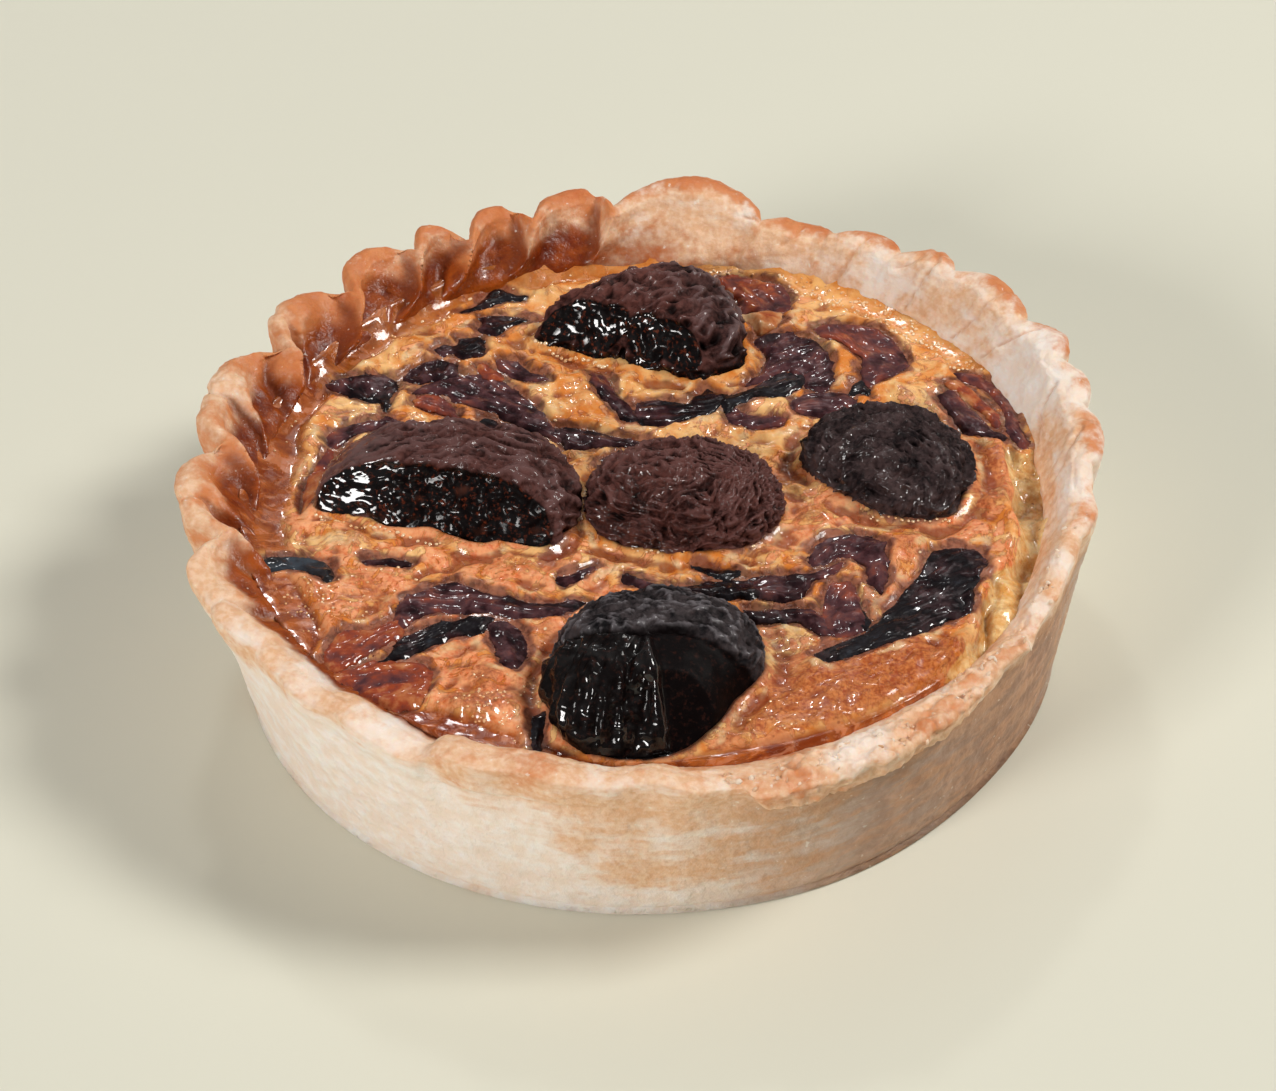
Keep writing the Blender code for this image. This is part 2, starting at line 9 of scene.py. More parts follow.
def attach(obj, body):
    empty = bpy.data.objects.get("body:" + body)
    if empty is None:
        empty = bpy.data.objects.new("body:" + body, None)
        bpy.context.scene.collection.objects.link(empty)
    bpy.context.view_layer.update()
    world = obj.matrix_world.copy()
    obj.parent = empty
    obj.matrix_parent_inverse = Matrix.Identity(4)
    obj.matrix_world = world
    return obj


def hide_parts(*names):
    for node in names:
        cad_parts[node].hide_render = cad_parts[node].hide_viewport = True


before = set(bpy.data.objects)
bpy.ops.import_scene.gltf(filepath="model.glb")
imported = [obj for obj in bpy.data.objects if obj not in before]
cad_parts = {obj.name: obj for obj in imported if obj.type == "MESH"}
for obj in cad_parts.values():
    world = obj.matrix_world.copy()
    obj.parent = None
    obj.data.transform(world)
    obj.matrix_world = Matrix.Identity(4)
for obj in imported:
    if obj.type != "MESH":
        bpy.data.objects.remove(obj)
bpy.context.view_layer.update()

# The finish of a small deep mushroom quiche. Sizes are in millimetres and made metres when a mesh is
# written. Angles go round the case from +X: 90 is the high back, 180 the left, 270 the front.
MM = 0.001

# ---- the sizes that the solids were built from ----
# By angle: the level of the crest, how far the rim leans out, and how far the outside of the wall is pulled out.
CREST_HEIGHT = (
    (-36, 25), (-20, 27.4), (0, 29.2), (20, 30.2), (44, 30.4), (56, 29.2), (67, 28.6), (75, 30.4), (84, 31.8),
    (100, 31.6), (120, 31.8), (140, 31), (160, 31), (180, 30.4), (194, 29.2), (206, 27.4), (218, 26.6),
    (229, 25.8), (240, 24.9), (242.5, 26.2), (254, 26.2), (268, 25.6), (280, 24.8), (291, 25), (302, 25.7),
    (312, 25.4),
)
RIM_LEAN = (
    (-36, -0.5), (-15, -1.2), (15, -0.4), (40, -0.2), (58, -1), (68, -1.6), (78, -0.1), (100, -0.9),
    (130, -0.5), (150, -1), (170, -0.4), (190, 0.1), (204, 0.6), (218, 0.3), (229, 0), (240, 0.2),
    (242.5, -0.6), (254, -0.9), (268, -0.4), (280, 0.5), (291, 0.5), (302, 0), (312, -0.2),
)
WALL_PULL = ((-75, 0), (-35, -1.5), (-8, -1.2), (20, 0), (200, 0), (250, 0.3))
# How unevenly the rim was pressed: waves round it, their reach outwards and upwards, and where they start.
RIM_WEAR = ((17, 0.1, 0.26, 1), (29, 0.2, 0.16, 2.1), (43, 0.16, 0.1, 4.3))
# Crimps: start, bulge of the lobe, tuck; and how wide a tuck's nose is before and after its angle.
CRIMPS = (
    (-17, 0.9, 0.3), (-3.5, 1.2, 0.6), (9, 1, 0.4), (18, 1.5, 0.8), (28.5, 1.3, 0.5), (42.5, 1, 0.9),
    (51.5, 1.4, 0.9), (62, 1.4, 1.2), (72.5, 2.6, 1.6), (94, 2.6, 2.5), (106, 2.6, 3.2), (116, 2.4, 3.2),
    (124, 2.4, 2.8), (136.5, 2.4, 3.6), (152, 2.4, 3.4), (174, 2, 2.8), (192, 1.6, 2.2), (212, 0, 0.6),
)
TUCK_BEFORE_DEG, TUCK_AFTER_DEG = 2.2, 3.2
# Mounds of the custard: middle x and y, half length and width, turn in degrees, and height.
MOUNDS = (
    (-42, -22, 8.5, 7.5, 20, 1.2), (-21, -41, 9.5, 7, 80, 1.5), (27, -38, 14, 7, 28, 1.5),
    (12, -37, 8, 4.5, 75, 0.9), (43, -2, 11, 4, 95, 1.4), (31, -14, 3.5, 3.5, 0, 0.9),
    (21, -5, 8, 5, 70, 0.8), (-17, -16, 6, 3.5, -10, 0.6), (-7, -17, 5, 3, 20, 0.7),
    (-9, 22, 10, 4.2, -55, 0.9), (7, 12.5, 8, 3, -5, 0.7), (-34, 32, 9, 4.5, 40, 0.7),
    (-31, 17, 5.5, 3, -15, 0.5), (-43, 16, 7.5, 4, 80, 0.7), (15.5, 36, 4, 3, -20, 1.1),
    (26, 27, 6, 2.6, 100, 0.8), (34, 20, 6, 4, 20, 0.6), (-36, -8, 7.5, 2.6, -15, 0.5),
    (-47, 4, 9, 3.5, 95, -0.9), (48.5, -14, 18, 2.4, 80, -1.7), (42.5, -31, 9, 2.2, 55, -1.6),
    (-30, -43, 5, 2.6, -60, -1.3), (-33, 37, 12, 2.5, 42, -0.5), (2, -50.5, 24, 3.5, 0, 0.8),
)
# Mushrooms: the outline, the height over the custard, how far the top leans, the way the cut face looks, and
# how far from the middle it lies.
MUSHROOMS = {
    "mushroom_back": {
        "outline": ((-14.5, 33), (-9, 30), (-3, 28), (2, 25), (8, 23), (12.5, 25), (13, 32), (11, 39),
                    (6, 43.5), (0, 43), (-7, 40), (-12, 37)),
        "height": 7.6, "lean": (0.5, 0.5), "knife": (-0.35, -0.75, 0.56), "knife_at": 6.6,
    },
    "mushroom_left": {
        "outline": ((-43, -2), (-36, -4.5), (-28, -7), (-20, -10), (-13, -11.5), (-10, -7), (-9.5, 0),
                    (-12, 5), (-20, 8), (-30, 9.5), (-38, 9), (-42, 4)),
        "height": 7.4, "lean": (0.0, 0.5), "knife": (-0.24, -0.80, 0.55), "knife_at": 6.2,
    },
    "mushroom_middle": {
        "outline": ((-8, -5), (-6, -10), (0, -13), (7, -13.5), (13, -12), (16.5, -7), (15.5, -1),
                    (11, 3), (4, 5), (-2, 4.5), (-6.5, 1)),
        "height": 6.6, "lean": (0.5, 0.5), "knife": (-0.30, -0.72, 0.62), "knife_at": 7.6,
    },
    "mushroom_right": {
        "outline": ((20, 5), (22, 0), (27, -5), (32, -8), (38, -8), (41, -3), (41, 3), (38, 9), (33, 12),
                    (27, 12), (22, 9.5)),
        "height": 4.8, "lean": (0.2, 1.0), "knife": (-0.50, -0.62, 0.60), "knife_at": 8.4,
    },
    "mushroom_front": {
        "outline": ((-12.5, -36), (-13, -43), (-10, -50), (-3, -52.3), (3, -51), (9, -44), (13, -37),
                    (12, -31), (6, -27), (-2, -26), (-9, -29)),
        "height": 8.6, "lean": (-0.5, 0.5), "knife": (0.10, -0.82, 0.56), "knife_at": 9.4,
    },
}
# Onion petals: tone at the start and at the end, from 0 black through 0.5 purple and 0.8 red to 1 amber; how
# wrinkled; how far the middle stands up; the way its veins run, in degrees; and the outline's corners, as x
# and y in turn, in tenths of a millimetre.
PETALS = {
    "onion_back_spike": (0.1, 0, 0.7, 0.9, 30, (-254, 412, -232, 422, -220, 442, -208, 464, -192, 462,
        -176, 450, -152, 444, -166, 430, -190, 430, -205, 420, -225, 412, -246, 404)),
    "onion_back_petal": (0.3, 0.1, 0.4, 0.5, -10, (-224, 398, -195, 402, -170, 394, -144, 384, -168, 377,
        -186, 367, -200, 352, -216, 354, -228, 368, -222, 384)),
    "onion_back_curl": (0.35, 0.1, 0.9, 1.1, 20, (-254, 352, -220, 352, -214, 320, -218, 304, -246, 298,
        -258, 312, -272, 308, -290, 318, -274, 334, -256, 336)),
    "onion_back_knot": (0.35, 0.3, 1, 1.2, 70, (-298, 298, -280, 302, -254, 296, -248, 270, -258, 254,
        -286, 248, -317, 250, -332, 264, -314, 284)),
    "onion_left_petal": (0.35, 0, 0.6, 1, -70, (-410, 264, -385, 271, -350, 274, -330, 256, -330, 236,
        -338, 216, -344, 183, -350, 183, -354, 206, -368, 210, -390, 220, -412, 232, -426, 248)),
    "onion_long": (0.5, 0.42, 0.35, 1.1, -42, (-316, 224, -298, 246, -270, 258, -230, 270, -204, 268,
        -184, 246, -164, 216, -144, 186, -128, 154, -114, 126, -112, 104, -136, 118, -160, 132, -186, 156,
        -208, 178, -230, 190, -254, 202, -266, 218, -286, 224)),
    "onion_sliver": (0.5, 0.35, 0.3, 0.4, -45, (-200, 298, -170, 294, -154, 268, -134, 250, -124, 236,
        -144, 236, -168, 248, -188, 264, -202, 282)),
    "onion_left_tail": (0.55, 0.5, 0.4, 0.7, 40, (-418, 146, -396, 162, -366, 174, -326, 164, -348, 152,
        -380, 140, -404, 112, -418, 112, -426, 130)),
    "onion_centre": (0.3, 0.4, 0.6, 0.8, -18, (-126, 144, -90, 138, -60, 125, -36, 114, -2, 104, 12, 88,
        -20, 86, -50, 94, -80, 90, -108, 92, -118, 108, -132, 122)),
    "onion_cap_arm": (0.5, 0.3, 0.5, 0.7, -60, (-76, 258, -52, 256, -42, 224, -32, 198, -14, 170, -6, 144,
        -30, 144, -50, 174, -66, 204, -74, 230)),
    "onion_cap_bowl": (0.3, 0.05, 0.4, 0.8, 10, (-16, 186, 6, 196, 30, 194, 54, 188, 66, 204, 80, 222,
        106, 204, 108, 184, 90, 160, 68, 148, 46, 132, 22, 127, -4, 133, -18, 154)),
    "onion_black_band": (0.05, 0, 0.6, 1.3, 25, (94, 186, 114, 202, 140, 214, 160, 234, 186, 248, 212, 250,
        214, 226, 198, 200, 174, 188, 146, 190, 122, 174, 106, 158)),
    "onion_purple_broad": (0.48, 0.42, 0.7, 0.9, 35, (147, 326, 176, 336, 200, 334, 232, 312, 242, 286,
        252, 256, 250, 216, 234, 196, 210, 204, 210, 228, 190, 244, 162, 230, 132, 220, 150, 252, 160, 274,
        156, 296, 146, 310)),
    "onion_purple_low": (0.42, 0.48, 0.3, 0.8, 0, (190, 184, 208, 196, 236, 198, 266, 194, 278, 174, 270, 156,
        248, 146, 218, 144, 194, 154)),
    "onion_red_petal": (0.78, 0.6, 0.6, 1, -55, (230, 340, 254, 352, 290, 350, 318, 338, 338, 308, 350, 280,
        354, 258, 346, 232, 322, 216, 292, 202, 286, 232, 288, 262, 272, 286, 258, 302, 242, 310)),
    "onion_oval": (0.5, 0.75, 0.3, 0.4, 20, (98, 164, 118, 176, 132, 154, 154, 150, 182, 144, 178, 126,
        156, 116, 130, 120, 106, 134)),
    "onion_knob": (0.88, 0.66, 0.7, 1.5, -60, (104, 466, 136, 472, 170, 460, 196, 444, 204, 416, 200, 384,
        174, 380, 142, 378, 116, 394, 128, 414, 112, 436)),
    "onion_pale": (1.3, 1.25, 0.3, 1, 0, (116, 380, 140, 376, 166, 382, 190, 384, 190, 360, 178, 340,
        156, 326, 146, 344, 134, 358)),
    "onion_ring_outer": (0.72, 0.62, 0.4, 1.2, -68, (412, 228, 436, 225, 463, 205, 478, 180, 485, 150,
        486, 124, 498, 66, 488, 54, 474, 74, 469, 110, 467, 140, 456, 172, 438, 198, 416, 212)),
    "onion_ring_inner": (0.55, 0.35, 0.5, 1.2, -62, (384, 178, 404, 194, 415, 180, 427, 156, 440, 132,
        452, 102, 474, 82, 464, 70, 430, 84, 408, 98, 400, 126, 390, 152)),
    "onion_grey": (-0.3, -0.25, 0.25, 0.5, -25, (-496, -122, -486, -110, -460, -106, -434, -112, -412, -124,
        -402, -144, -400, -170, -412, -174, -428, -154, -446, -140, -466, -138, -492, -144)),
    "onion_arch": (0.45, 0.3, 0.6, 1.2, -10, (-326, -246, -320, -214, -298, -192, -276, -176, -250, -170,
        -226, -184, -204, -200, -180, -204, -156, -218, -124, -222, -96, -214, -80, -222, -106, -246,
        -144, -254, -186, -250, -208, -242, -240, -238, -270, -234, -296, -244, -316, -264)),
    "onion_red_strip": (0.88, 0.78, 0.5, 0.8, 45, (-406, -286, -386, -264, -356, -262, -330, -246, -312, -248,
        -314, -278, -334, -296, -358, -314, -380, -336, -404, -344, -412, -316)),
    "onion_strand": (0.1, 0.05, 0.8, 1.2, 35, (-342, -326, -328, -306, -322, -284, -300, -264, -274, -248,
        -240, -244, -202, -246, -200, -264, -224, -278, -252, -286, -274, -300, -296, -312, -318, -326)),
    "onion_down_strand": (0.35, 0.4, 0.5, 0.8, -75, (-206, -256, -186, -250, -164, -270, -156, -300,
        -158, -330, -172, -356, -190, -346, -200, -310, -206, -284)),
    "onion_rim_petal": (0.86, 0.94, 0.7, 1, 20, (-409, -346, -380, -334, -350, -316, -316, -322, -282, -328,
        -272, -354, -278, -384, -290, -408, -320, -410, -350, -406, -384, -384, -408, -362)),
    "onion_corner": (0.1, 0.05, 0.2, 1, 90, (-154, -434, -136, -438, -138, -470, -140, -506, -154, -502,
        -156, -470)),
    "onion_under": (0.3, 0.05, 1, 0.9, -10, (-36, -168, -14, -180, 14, -194, 44, -196, 70, -186, 100, -184,
        128, -194, 136, -218, 120, -232, 86, -230, 50, -219, 16, -212, -14, -200, -38, -188)),
    "onion_maroon": (0.3, 0.62, 0.7, 1, 15, (108, -188, 134, -178, 166, -180, 196, -180, 224, -168, 240, -154,
        242, -172, 220, -192, 200, -204, 186, -226, 164, -240, 134, -232, 120, -210)),
    "onion_curl": (0.52, 0.4, 0.6, 1.3, 55, (194, -156, 204, -126, 224, -108, 252, -106, 282, -116, 298, -140,
        296, -172, 294, -204, 284, -230, 268, -206, 264, -176, 248, -158, 234, -156, 220, -168, 200, -172)),
    "onion_tongue": (0.5, 0.66, 0.3, 1.4, 80, (218, -202, 248, -198, 256, -228, 260, -260, 264, -290,
        250, -312, 224, -314, 204, -286, 206, -254, 210, -226)),
    "onion_low_strip": (0.2, 0.4, 1, 0.8, -20, (112, -244, 144, -250, 176, -246, 202, -254, 216, -284,
        222, -312, 200, -302, 176, -282, 144, -282, 116, -272)),
    "onion_great": (-0.02, 0.16, 0.35, 1.6, 38, (354, -142, 386, -137, 416, -150, 422, -180, 410, -208,
        400, -240, 394, -276, 360, -292, 326, -316, 286, -339, 246, -357, 210, -370, 192, -344, 226, -322,
        256, -306, 274, -284, 284, -262, 302, -240, 316, -214, 334, -186, 344, -162)),
}
# Smaller shreds that the solids leave out, in the same way.
SHREDS = {
    "red_petal_left": (0.95, 0.8, 0.5, 0.5, 75, (-418, 110, -408, 96, -419, 64, -426, 34, -434, 4, -452, -16,
        -452, 20, -448, 54, -436, 84)),
    "petal_by_middle": (0.3, 0.35, 0.3, 1, 70, (-66, 72, -44, 84, -24, 72, -20, 44, -36, 30, -54, 28, -64, 46)),
    "black_tip": (0, 0, 0.4, 1.2, 60, (260, 182, 274, 210, 293, 224, 296, 198, 298, 178, 282, 186)),
    "amber_slice": (1, 0.9, 0.5, 0.9, -62, (392, 204, 414, 216, 435, 190, 452, 162, 466, 126, 461, 96,
        446, 122, 430, 154, 410, 182)),
    "dark_thread": (0.4, 0.3, 0.7, 0.3, -5, (-370, -126, -346, -118, -320, -120, -300, -132, -310, -142,
        -334, -138, -360, -138)),
    "rim_petal_lip": (0.05, 0.05, 0.9, 0.9, -45, (-414, -348, -396, -348, -378, -370, -354, -392, -328, -408,
        -340, -417, -370, -402, -398, -378)),
    "band_under_middle": (-0.1, 0, 0.5, 0.4, -20, (42, -152, 74, -156, 98, -162, 114, -180, 94, -190, 72, -178)),
    "shadow_by_tongue": (0, 0, 0.6, 0.9, -70, (248, -226, 259, -252, 271, -282, 264, -306, 244, -294,
        244, -260)),
    "dark_bead": (0.1, 0.3, 0.4, 1.6, 0, (-228, 156, -218, 170, -202, 168, -192, 152, -198, 132, -214, 128,
        -226, 138)),
    "wet_fold": (0.8, 0.7, 1, 1, -45, (-312, 208, -296, 224, -276, 224, -258, 204, -250, 180, -248, 158,
        -266, 172, -290, 182, -308, 194)),
    "amber_fold": (0.9, 0.8, 0.9, 0.5, -45, (-230, 286, -212, 286, -194, 272, -184, 248, -196, 246, -216, 258)),
    "cut_strip": (0.45, 0.35, 0.5, 0.5, -20, (-124, -178, -94, -166, -70, -150, -64, -158, -86, -180,
        -112, -194)),
}
# Thin purple films sunk into the custard: how dark, and the outline in the same way.
FILMS = (
    (0.75, (-120, 40, -96, 24, -90, -20, -92, -60, -102, -106, -120, -152, -146, -154, -140, -120, -124, -40)),
    (0.35, (170, -338, 184, -348, 200, -384, 196, -406, 182, -386, 172, -360)),
    (0.75, (106, -16, 156, -16, 172, -60, 160, -106, 124, -146, 96, -140, 118, -94)),
    (0.8, (368, 84, 396, 80, 419, 30, 416, -36, 392, -84, 332, -102, 296, -90, 260, -62, 300, -60, 360, -60,
        390, 0)),
    (0.45, (-270, 426, -210, 416, -160, 418, -170, 398, -220, 398, -250, 382, -256, 352, -234, 352, -226, 372,
        -240, 402)),
    (0.4, (304, -204, 336, -176, 354, -144, 330, -138, 326, -166, 304, -188)),
    (0.5, (220, -206, 266, -186, 286, -230, 306, -244, 280, -288, 266, -294, 254, -240)),
    (0.35, (-346, -142, -334, -164, -342, -194, -348, -236, -338, -240, -328, -190)),
    (0.55, (6, 218, 34, 222, 64, 214, 70, 190, 30, 186, 4, 190)),
    (0.35, (-170, -258, -146, -266, -150, -316, -166, -300)),
    (0.3, (210, 316, 240, 342, 274, 338, 256, 310, 242, 292)),
    (0.55, (158, -244, 204, -236, 226, -280, 246, -320, 220, -334, 190, -306)),
)
# How deep the mushrooms stand in the custard, the custard's level, and the radius at which it meets the wall.
MUSHROOM_DEPTH = 3.6
CUSTARD_LEVEL = 24.0
WALL_FOOT = 51.0
# Where the ribs of the middle mushroom meet.
RIB_HUB = (13.5, -5)
# By angle: how wide the fat against the wall is, how far it climbs, how burnt it is, and how salmon the skin.
FAT_WIDTH = (
    (-22, 0.5), (12, 3.4), (40, 4.2), (62, 4.2), (95, 3.4), (125, 3), (150, 3.4), (180, 4.4), (198, 3.6),
    (212, 2.8), (230, 2), (262, 1), (285, 0.7), (305, 0.3),
)
FAT_CLIMB = (
    (-30, 0.3), (12, 0.6), (60, 0.8), (95, 1.4), (125, 1.7), (185, 1.4), (205, 0.4), (235, 0.1), (262, 0.1),
)
BURNT = (
    (-20, 0), (60, 0), (88, 0.25), (105, 0.6), (130, 0.85), (160, 1), (205, 1), (235, 1.1), (262, 1),
    (285, 1), (325, 0.9),
)
SALMON = (
    (-60, 0.5), (-10, 0.8), (30, 0.3), (60, 0), (120, 0), (165, 0.3), (200, 0.8), (250, 0.9), (285, 0.6),
)
# Where the skin has torn from the wall at the right: the radius of its edge, by angle.
TEAR = (
    (-56, 53.4), (-50, 52.8), (-44, 51.6), (-40, 50.4), (-36, 49.2), (-31, 47.6), (-26, 46.8), (-22.5, 48),
    (-18, 48.4), (-10, 47), (0, 46.3), (12, 46.2), (60, 50),
)
# How dark the custard is at a mushroom's foot, by the angle from the middle of the quiche.
DARK_SIDE = ((-60, 1), (40, 0.5), (120, 0.3), (180, 0.6), (240, 0.8))

# Beads of fat: by angle and radius with a count, along lines with a count and size, and in patches.
BEAD_BANDS = (
    (14, 40, 46.8, 50.2, 130), (40, 68, 46.6, 50.4, 150), (68, 92, 46.5, 49.5, 60), (100, 140, 47, 49.5, 30),
    (0, 360, 8, 46, 60),
)
BEAD_LINES = (
    (((-43, -3.4), (-38, -5.4), (-33, -7.4), (-27, -9.6)), 24, 0.24),
    (((-14.6, 32.4), (-11, 29.6), (-5, 26.9)), 18, 0.3), (((28, -7.6), (33, -9), (38, -9)), 16, 0.2),
    (((-4.4, -11.6), (-0.5, -13.6), (4, -14.2)), 12, 0.18),
    (((-18, 21), (-14.6, 16.8), (-11.8, 12.8)), 16, 0.2),
)
BEAD_PATCHES = (
    (-42, -22, 4, 70), (-20, -43, 2.6, 70), (-9, 19, 3, 24), (6, 13, 4, 24), (13, -49, 3, 20),
    (-26, 28, 2.5, 26), (-44, 14, 2.5, 20), (16, 40, 2.5, 26),
)

# ---- how the finish departs from the solids ----
# Half of the case's section: radius, level, share of the inner face, and rows up to the next point.
SECTION = (
    (46.5, 4.2, 1, 1), (50, 8, 1, 3), (52.3, 20, 1, 8), (52.9, 24, 1, 22), (55, 28.8, 0.9, 8),
    (56.1, 29.7, 0.6, 6), (57.2, 30, 0.35, 6), (58.3, 29.6, 0.1, 6), (58.9, 28.6, 0, 14), (58.2, 24, 0, 24),
    (55.6, 10, 0, 9), (54.2, 2.8, 0, 3), (53.4, 0.8, 0, 2), (52, 0, 0, 1), (30, 0, 0, 0),
)
# How far a crimp's fold has turned round by the time it has come down to the custard, by angle.
FOLD_SKEW = (
    (-30, 0), (20, 0), (60, 1), (75, 2), (98, 5), (125, 7), (150, 10), (180, 9), (205, 7), (225, 2), (250, 0),
)
# How far the foot of the inside stands in from the wall, by angle.
SLOPE_IN = (
    (-40, 1), (-15, 1.8), (10, 2.4), (60, 2.6), (80, 3), (95, 2.6), (140, 2.4), (185, 2.2), (205, 2.6),
    (225, 2.4), (246, 1.3), (300, 0.6),
)
# Folds on the inside only, in the middle of the widest crimps: where, and how far they stand in.
MINOR_FOLDS = ((144.5, 1.2), (162.5, 2.4), (183, 1.8), (202, 1))
# How much of the thick, rolled kind the rim is, by angle; the rest is a flat sloping wall.
ROLLED = ((-30, 0.1), (60, 0.15), (80, 0.45), (97, 1), (205, 1), (235, 0.35))
# Creases and cracks in the flat part of the rim, from the crest inwards.
CRACKS = (
    ((40.5, 43.6), (40, 39.4), (37.9, 37.8), (35.6, 36.7), (33.4, 35.6)),
    ((34.7, 41.4), (36.7, 40.9), (38.2, 42)), ((22.4, 52.4), (21.8, 50.4), (20.8, 49.6), (19.3, 49.2)),
    ((31.2, 47.2), (29.6, 45.6), (27.9, 44.4), (26.1, 43.6)),
    ((50.5, 32.9), (47.5, 31.4), (44.5, 29.6), (41.2, 29.8)), ((52, 23.8), (49.7, 23.6), (45, 24.5)),
    ((55, 5.1), (56.3, 5.1), (58.4, 3.1)), ((56, 2.8), (54, -0.1), (52.1, -3)), ((57, -15.4), (55, -12.7)),
    ((14.1, 55.6), (14.3, 53.5), (15.8, 53)), ((53.6, 12.6), (51.3, 10.2), (50.6, 6)),
)
# How toasted the crimps' outer edges are, by angle; below 0 they are paler than the rest.
TOASTED = (
    (-60, 0.5), (-20, 0.8), (60, 0.9), (90, 0.7), (110, 0.3), (140, -0.1), (175, -0.25), (205, -0.6),
    (240, 0), (270, 0.05), (300, 0.1),
)
# Peach blotches on the outside of the wall, by angle; below 0 the wall is paler, which is painted light on the lit
# left front.
BLUSH_AND_LIGHT = (
    (-60, 0.4), (-30, 0.2), (30, 0.2), (180, 0), (205, -0.9), (238, -0.8), (252, 0), (268, 0.9), (290, 0.9),
)
# How much painted shade, in tan-brown, darkens the outside of the wall, by angle; most on the right front.
WALL_SHADE = ((-95, 0), (-74, 0.5), (-60, 0.72), (-30, 0.85), (-5, 0.5), (25, 0.1), (200, 0))
# How much fat has soaked into the inside of the rim, by angle; its dark orange-brown on the inner wall at the left is
# also painted shade.
SOAK_AND_SHADE = (
    (-40, 0.35), (-15, 0.28), (10, 0.24), (45, 0.24), (60, 0.35), (70, 0.32), (80, 0.28), (93, 0.55),
    (102, 0.9), (125, 1), (195, 1), (225, 0.95), (240, 0.6), (250, 0.3), (300, 0.25),
)
# How salmon-orange the crimps are baked, by angle.
BAKED = (
    (-40, 0.45), (-10, 0.3), (10, 0.22), (40, 0.22), (58, 0.36), (70, 0.48), (88, 0.6), (98, 1.1),
    (120, 1.42), (150, 1.38), (172, 1.25), (190, 1.08), (206, 0.5), (232, 0.28), (255, 0.75), (285, 0.68),
    (305, 0.45),
)
# Painted-on browning, and painted shade in valleys at the front left and where the front mushroom meets the rim:
# middle x and y, half length and width, turn in degrees, rust, and pale.
BROWNING_AND_SHADE = (
    (26, -41, 20, 12, 25, 1.2, 0), (14, -46, 10, 7, 0, 0.8, 0), (-20, -37, 7, 8, 70, 0.35, 0),
    (-41, -22, 7, 7, 0, 0.25, 0), (43, 0, 12, 4.5, 95, 0.75, 0), (31, -14, 4, 4, 0, 0.6, 0),
    (-46, -25, 10, 3, 62, 1, 0), (-34, -22, 2.5, 9, 20, 0.7, 0), (-14, -28, 3, 8, 10, 0.6, 0),
    (-38, -33, 5, 3, -40, 0.8, 0), (-1, -51, 10, 1.6, 0, 1, 0), (-25, -30, 3, 5, -40, 0.5, 0),
    (20, -5, 8, 4, 70, 0.4, 0), (-16, -15, 6, 3.5, -10, 0.45, 0), (-29, -43, 5, 3, -60, 0.9, 0),
    (-36, 22, 6, 4, 40, 0, 0.6), (-24, 22, 7, 2.5, -20, 0, 0.7), (-40, -9, 7, 2, -12, 0, 0.8),
    (12, -52.5, 8, 1.6, 5, 0, 1), (-9, 4, 2.5, 5, 0, 0, 0.5), (6, 10, 9, 2, 0, 0, 0.5),
    (20, 11, 4, 5, 0, 0, 0.4), (-22, -18, 6, 2, 10, 0, 0.5), (16, -29, 3, 4, 0, 0, 0.3),
    (-48, 4, 4, 7, 0, 0.25, 0.3), (2, -16, 5, 1.5, -10, 0, 0.6),
)

# ---- how fine the meshes are, and where the seeds of their noise start ----
CASE_COLUMNS = 840
CUSTARD_COLUMNS, CUSTARD_ROWS, GRID_HALF, GRID_STEP = 640, 136, 54, 0.25
MUSHROOM_COLUMNS, MUSHROOM_ROWS, SUNK_ROWS = 280, 98, 14
PETAL_EDGE_STEP, PETAL_STEP_X, PETAL_STEP_Y, PETAL_THICKNESS = 0.3, 0.29, 0.25, 0.45
MUSHROOM_SEED, PETAL_SEED, SHRED_SEED, SEED_STEP = 100, 300, 1300, 20
BEAD_SEED, CRUMB_SEED = 901, 907

# ---- floor, light and camera ----
FLOOR_HALF, FLOOR_COLOUR = 3, (0.70, 0.69, 0.58)
# Square lamps: angle round the quiche and rise in degrees, distance and size in metres, power, colour.
LAMPS = {
    "key": (226, 27, 1.7, 0.43, 17.2, (1, 0.98, 0.96)), "right": (4, 46, 1.7, 0.46, 20.6, (1, 0.98, 0.94)),
    "behind": (97, 46, 1.1, 0.10, 1.2, (1, 1, 1)), "window": (80, 48, 1.3, 0.50, 0.7, (1, 1, 1)),
}
PHOTO_WIDTH, SENSOR_WIDTH = 1276, 36
# The fitted camera: its rise and roll in radians, its distance in metres, its shift and focal length in pixels.
CAMERA_RISE, CAMERA_ROLL, CAMERA_AWAY = 0.697753889, 0.036510821, 0.55
SHIFT_X, SHIFT_Y, FOCAL_PIXELS = 16.9859262, 86.8812662, 4140.55553


# ---- arithmetic ----
def blend(low, high, value):
    """0 below low, 1 above high, and smooth between."""
    t = np.clip((value - low) / (high - low), 0, 1)
    return t * t * (3 - 2 * t)


def hump(away, width):
    """1 where away is 0, and next to nothing beyond twice the width."""
    return np.exp(-((away / width) ** 2))


def at(x, y, z=0.0):
    """Places in space; any coordinate may be one number for all of them."""
    return np.stack(np.broadcast_arrays(x, y, z), -1)


def turned(x, y, degrees):
    """The same places measured along axes that are turned by this angle."""
    c, s = math.cos(math.radians(degrees)), math.sin(math.radians(degrees))
    return x * c + y * s, y * c - x * s


def polar(x, y):
    """The distance from the middle, and the angle in degrees."""
    return np.hypot(x, y), np.degrees(np.arctan2(y, x))


def corners(tenths):
    """The corners of an outline that is written as x and y in turn, in tenths of a millimetre."""
    return np.array(tenths).reshape(-1, 2) / 10


def around(table, angle):
    """A value that runs smoothly round the circle through the table's (angle, value) pairs."""
    angles = np.array([a for a, _ in table] + [table[0][0] + 360], float)
    values = np.array([v for _, v in table] + [table[0][1]], float)
    angle = (np.asarray(angle, float) - angles[0]) % 360 + angles[0]
    i = np.clip(np.searchsorted(angles, angle, side="right") - 1, 0, len(angles) - 2)
    return values[i] + (values[i + 1] - values[i]) * blend(0, 1, (angle - angles[i]) / (angles[i + 1] - angles[i]))


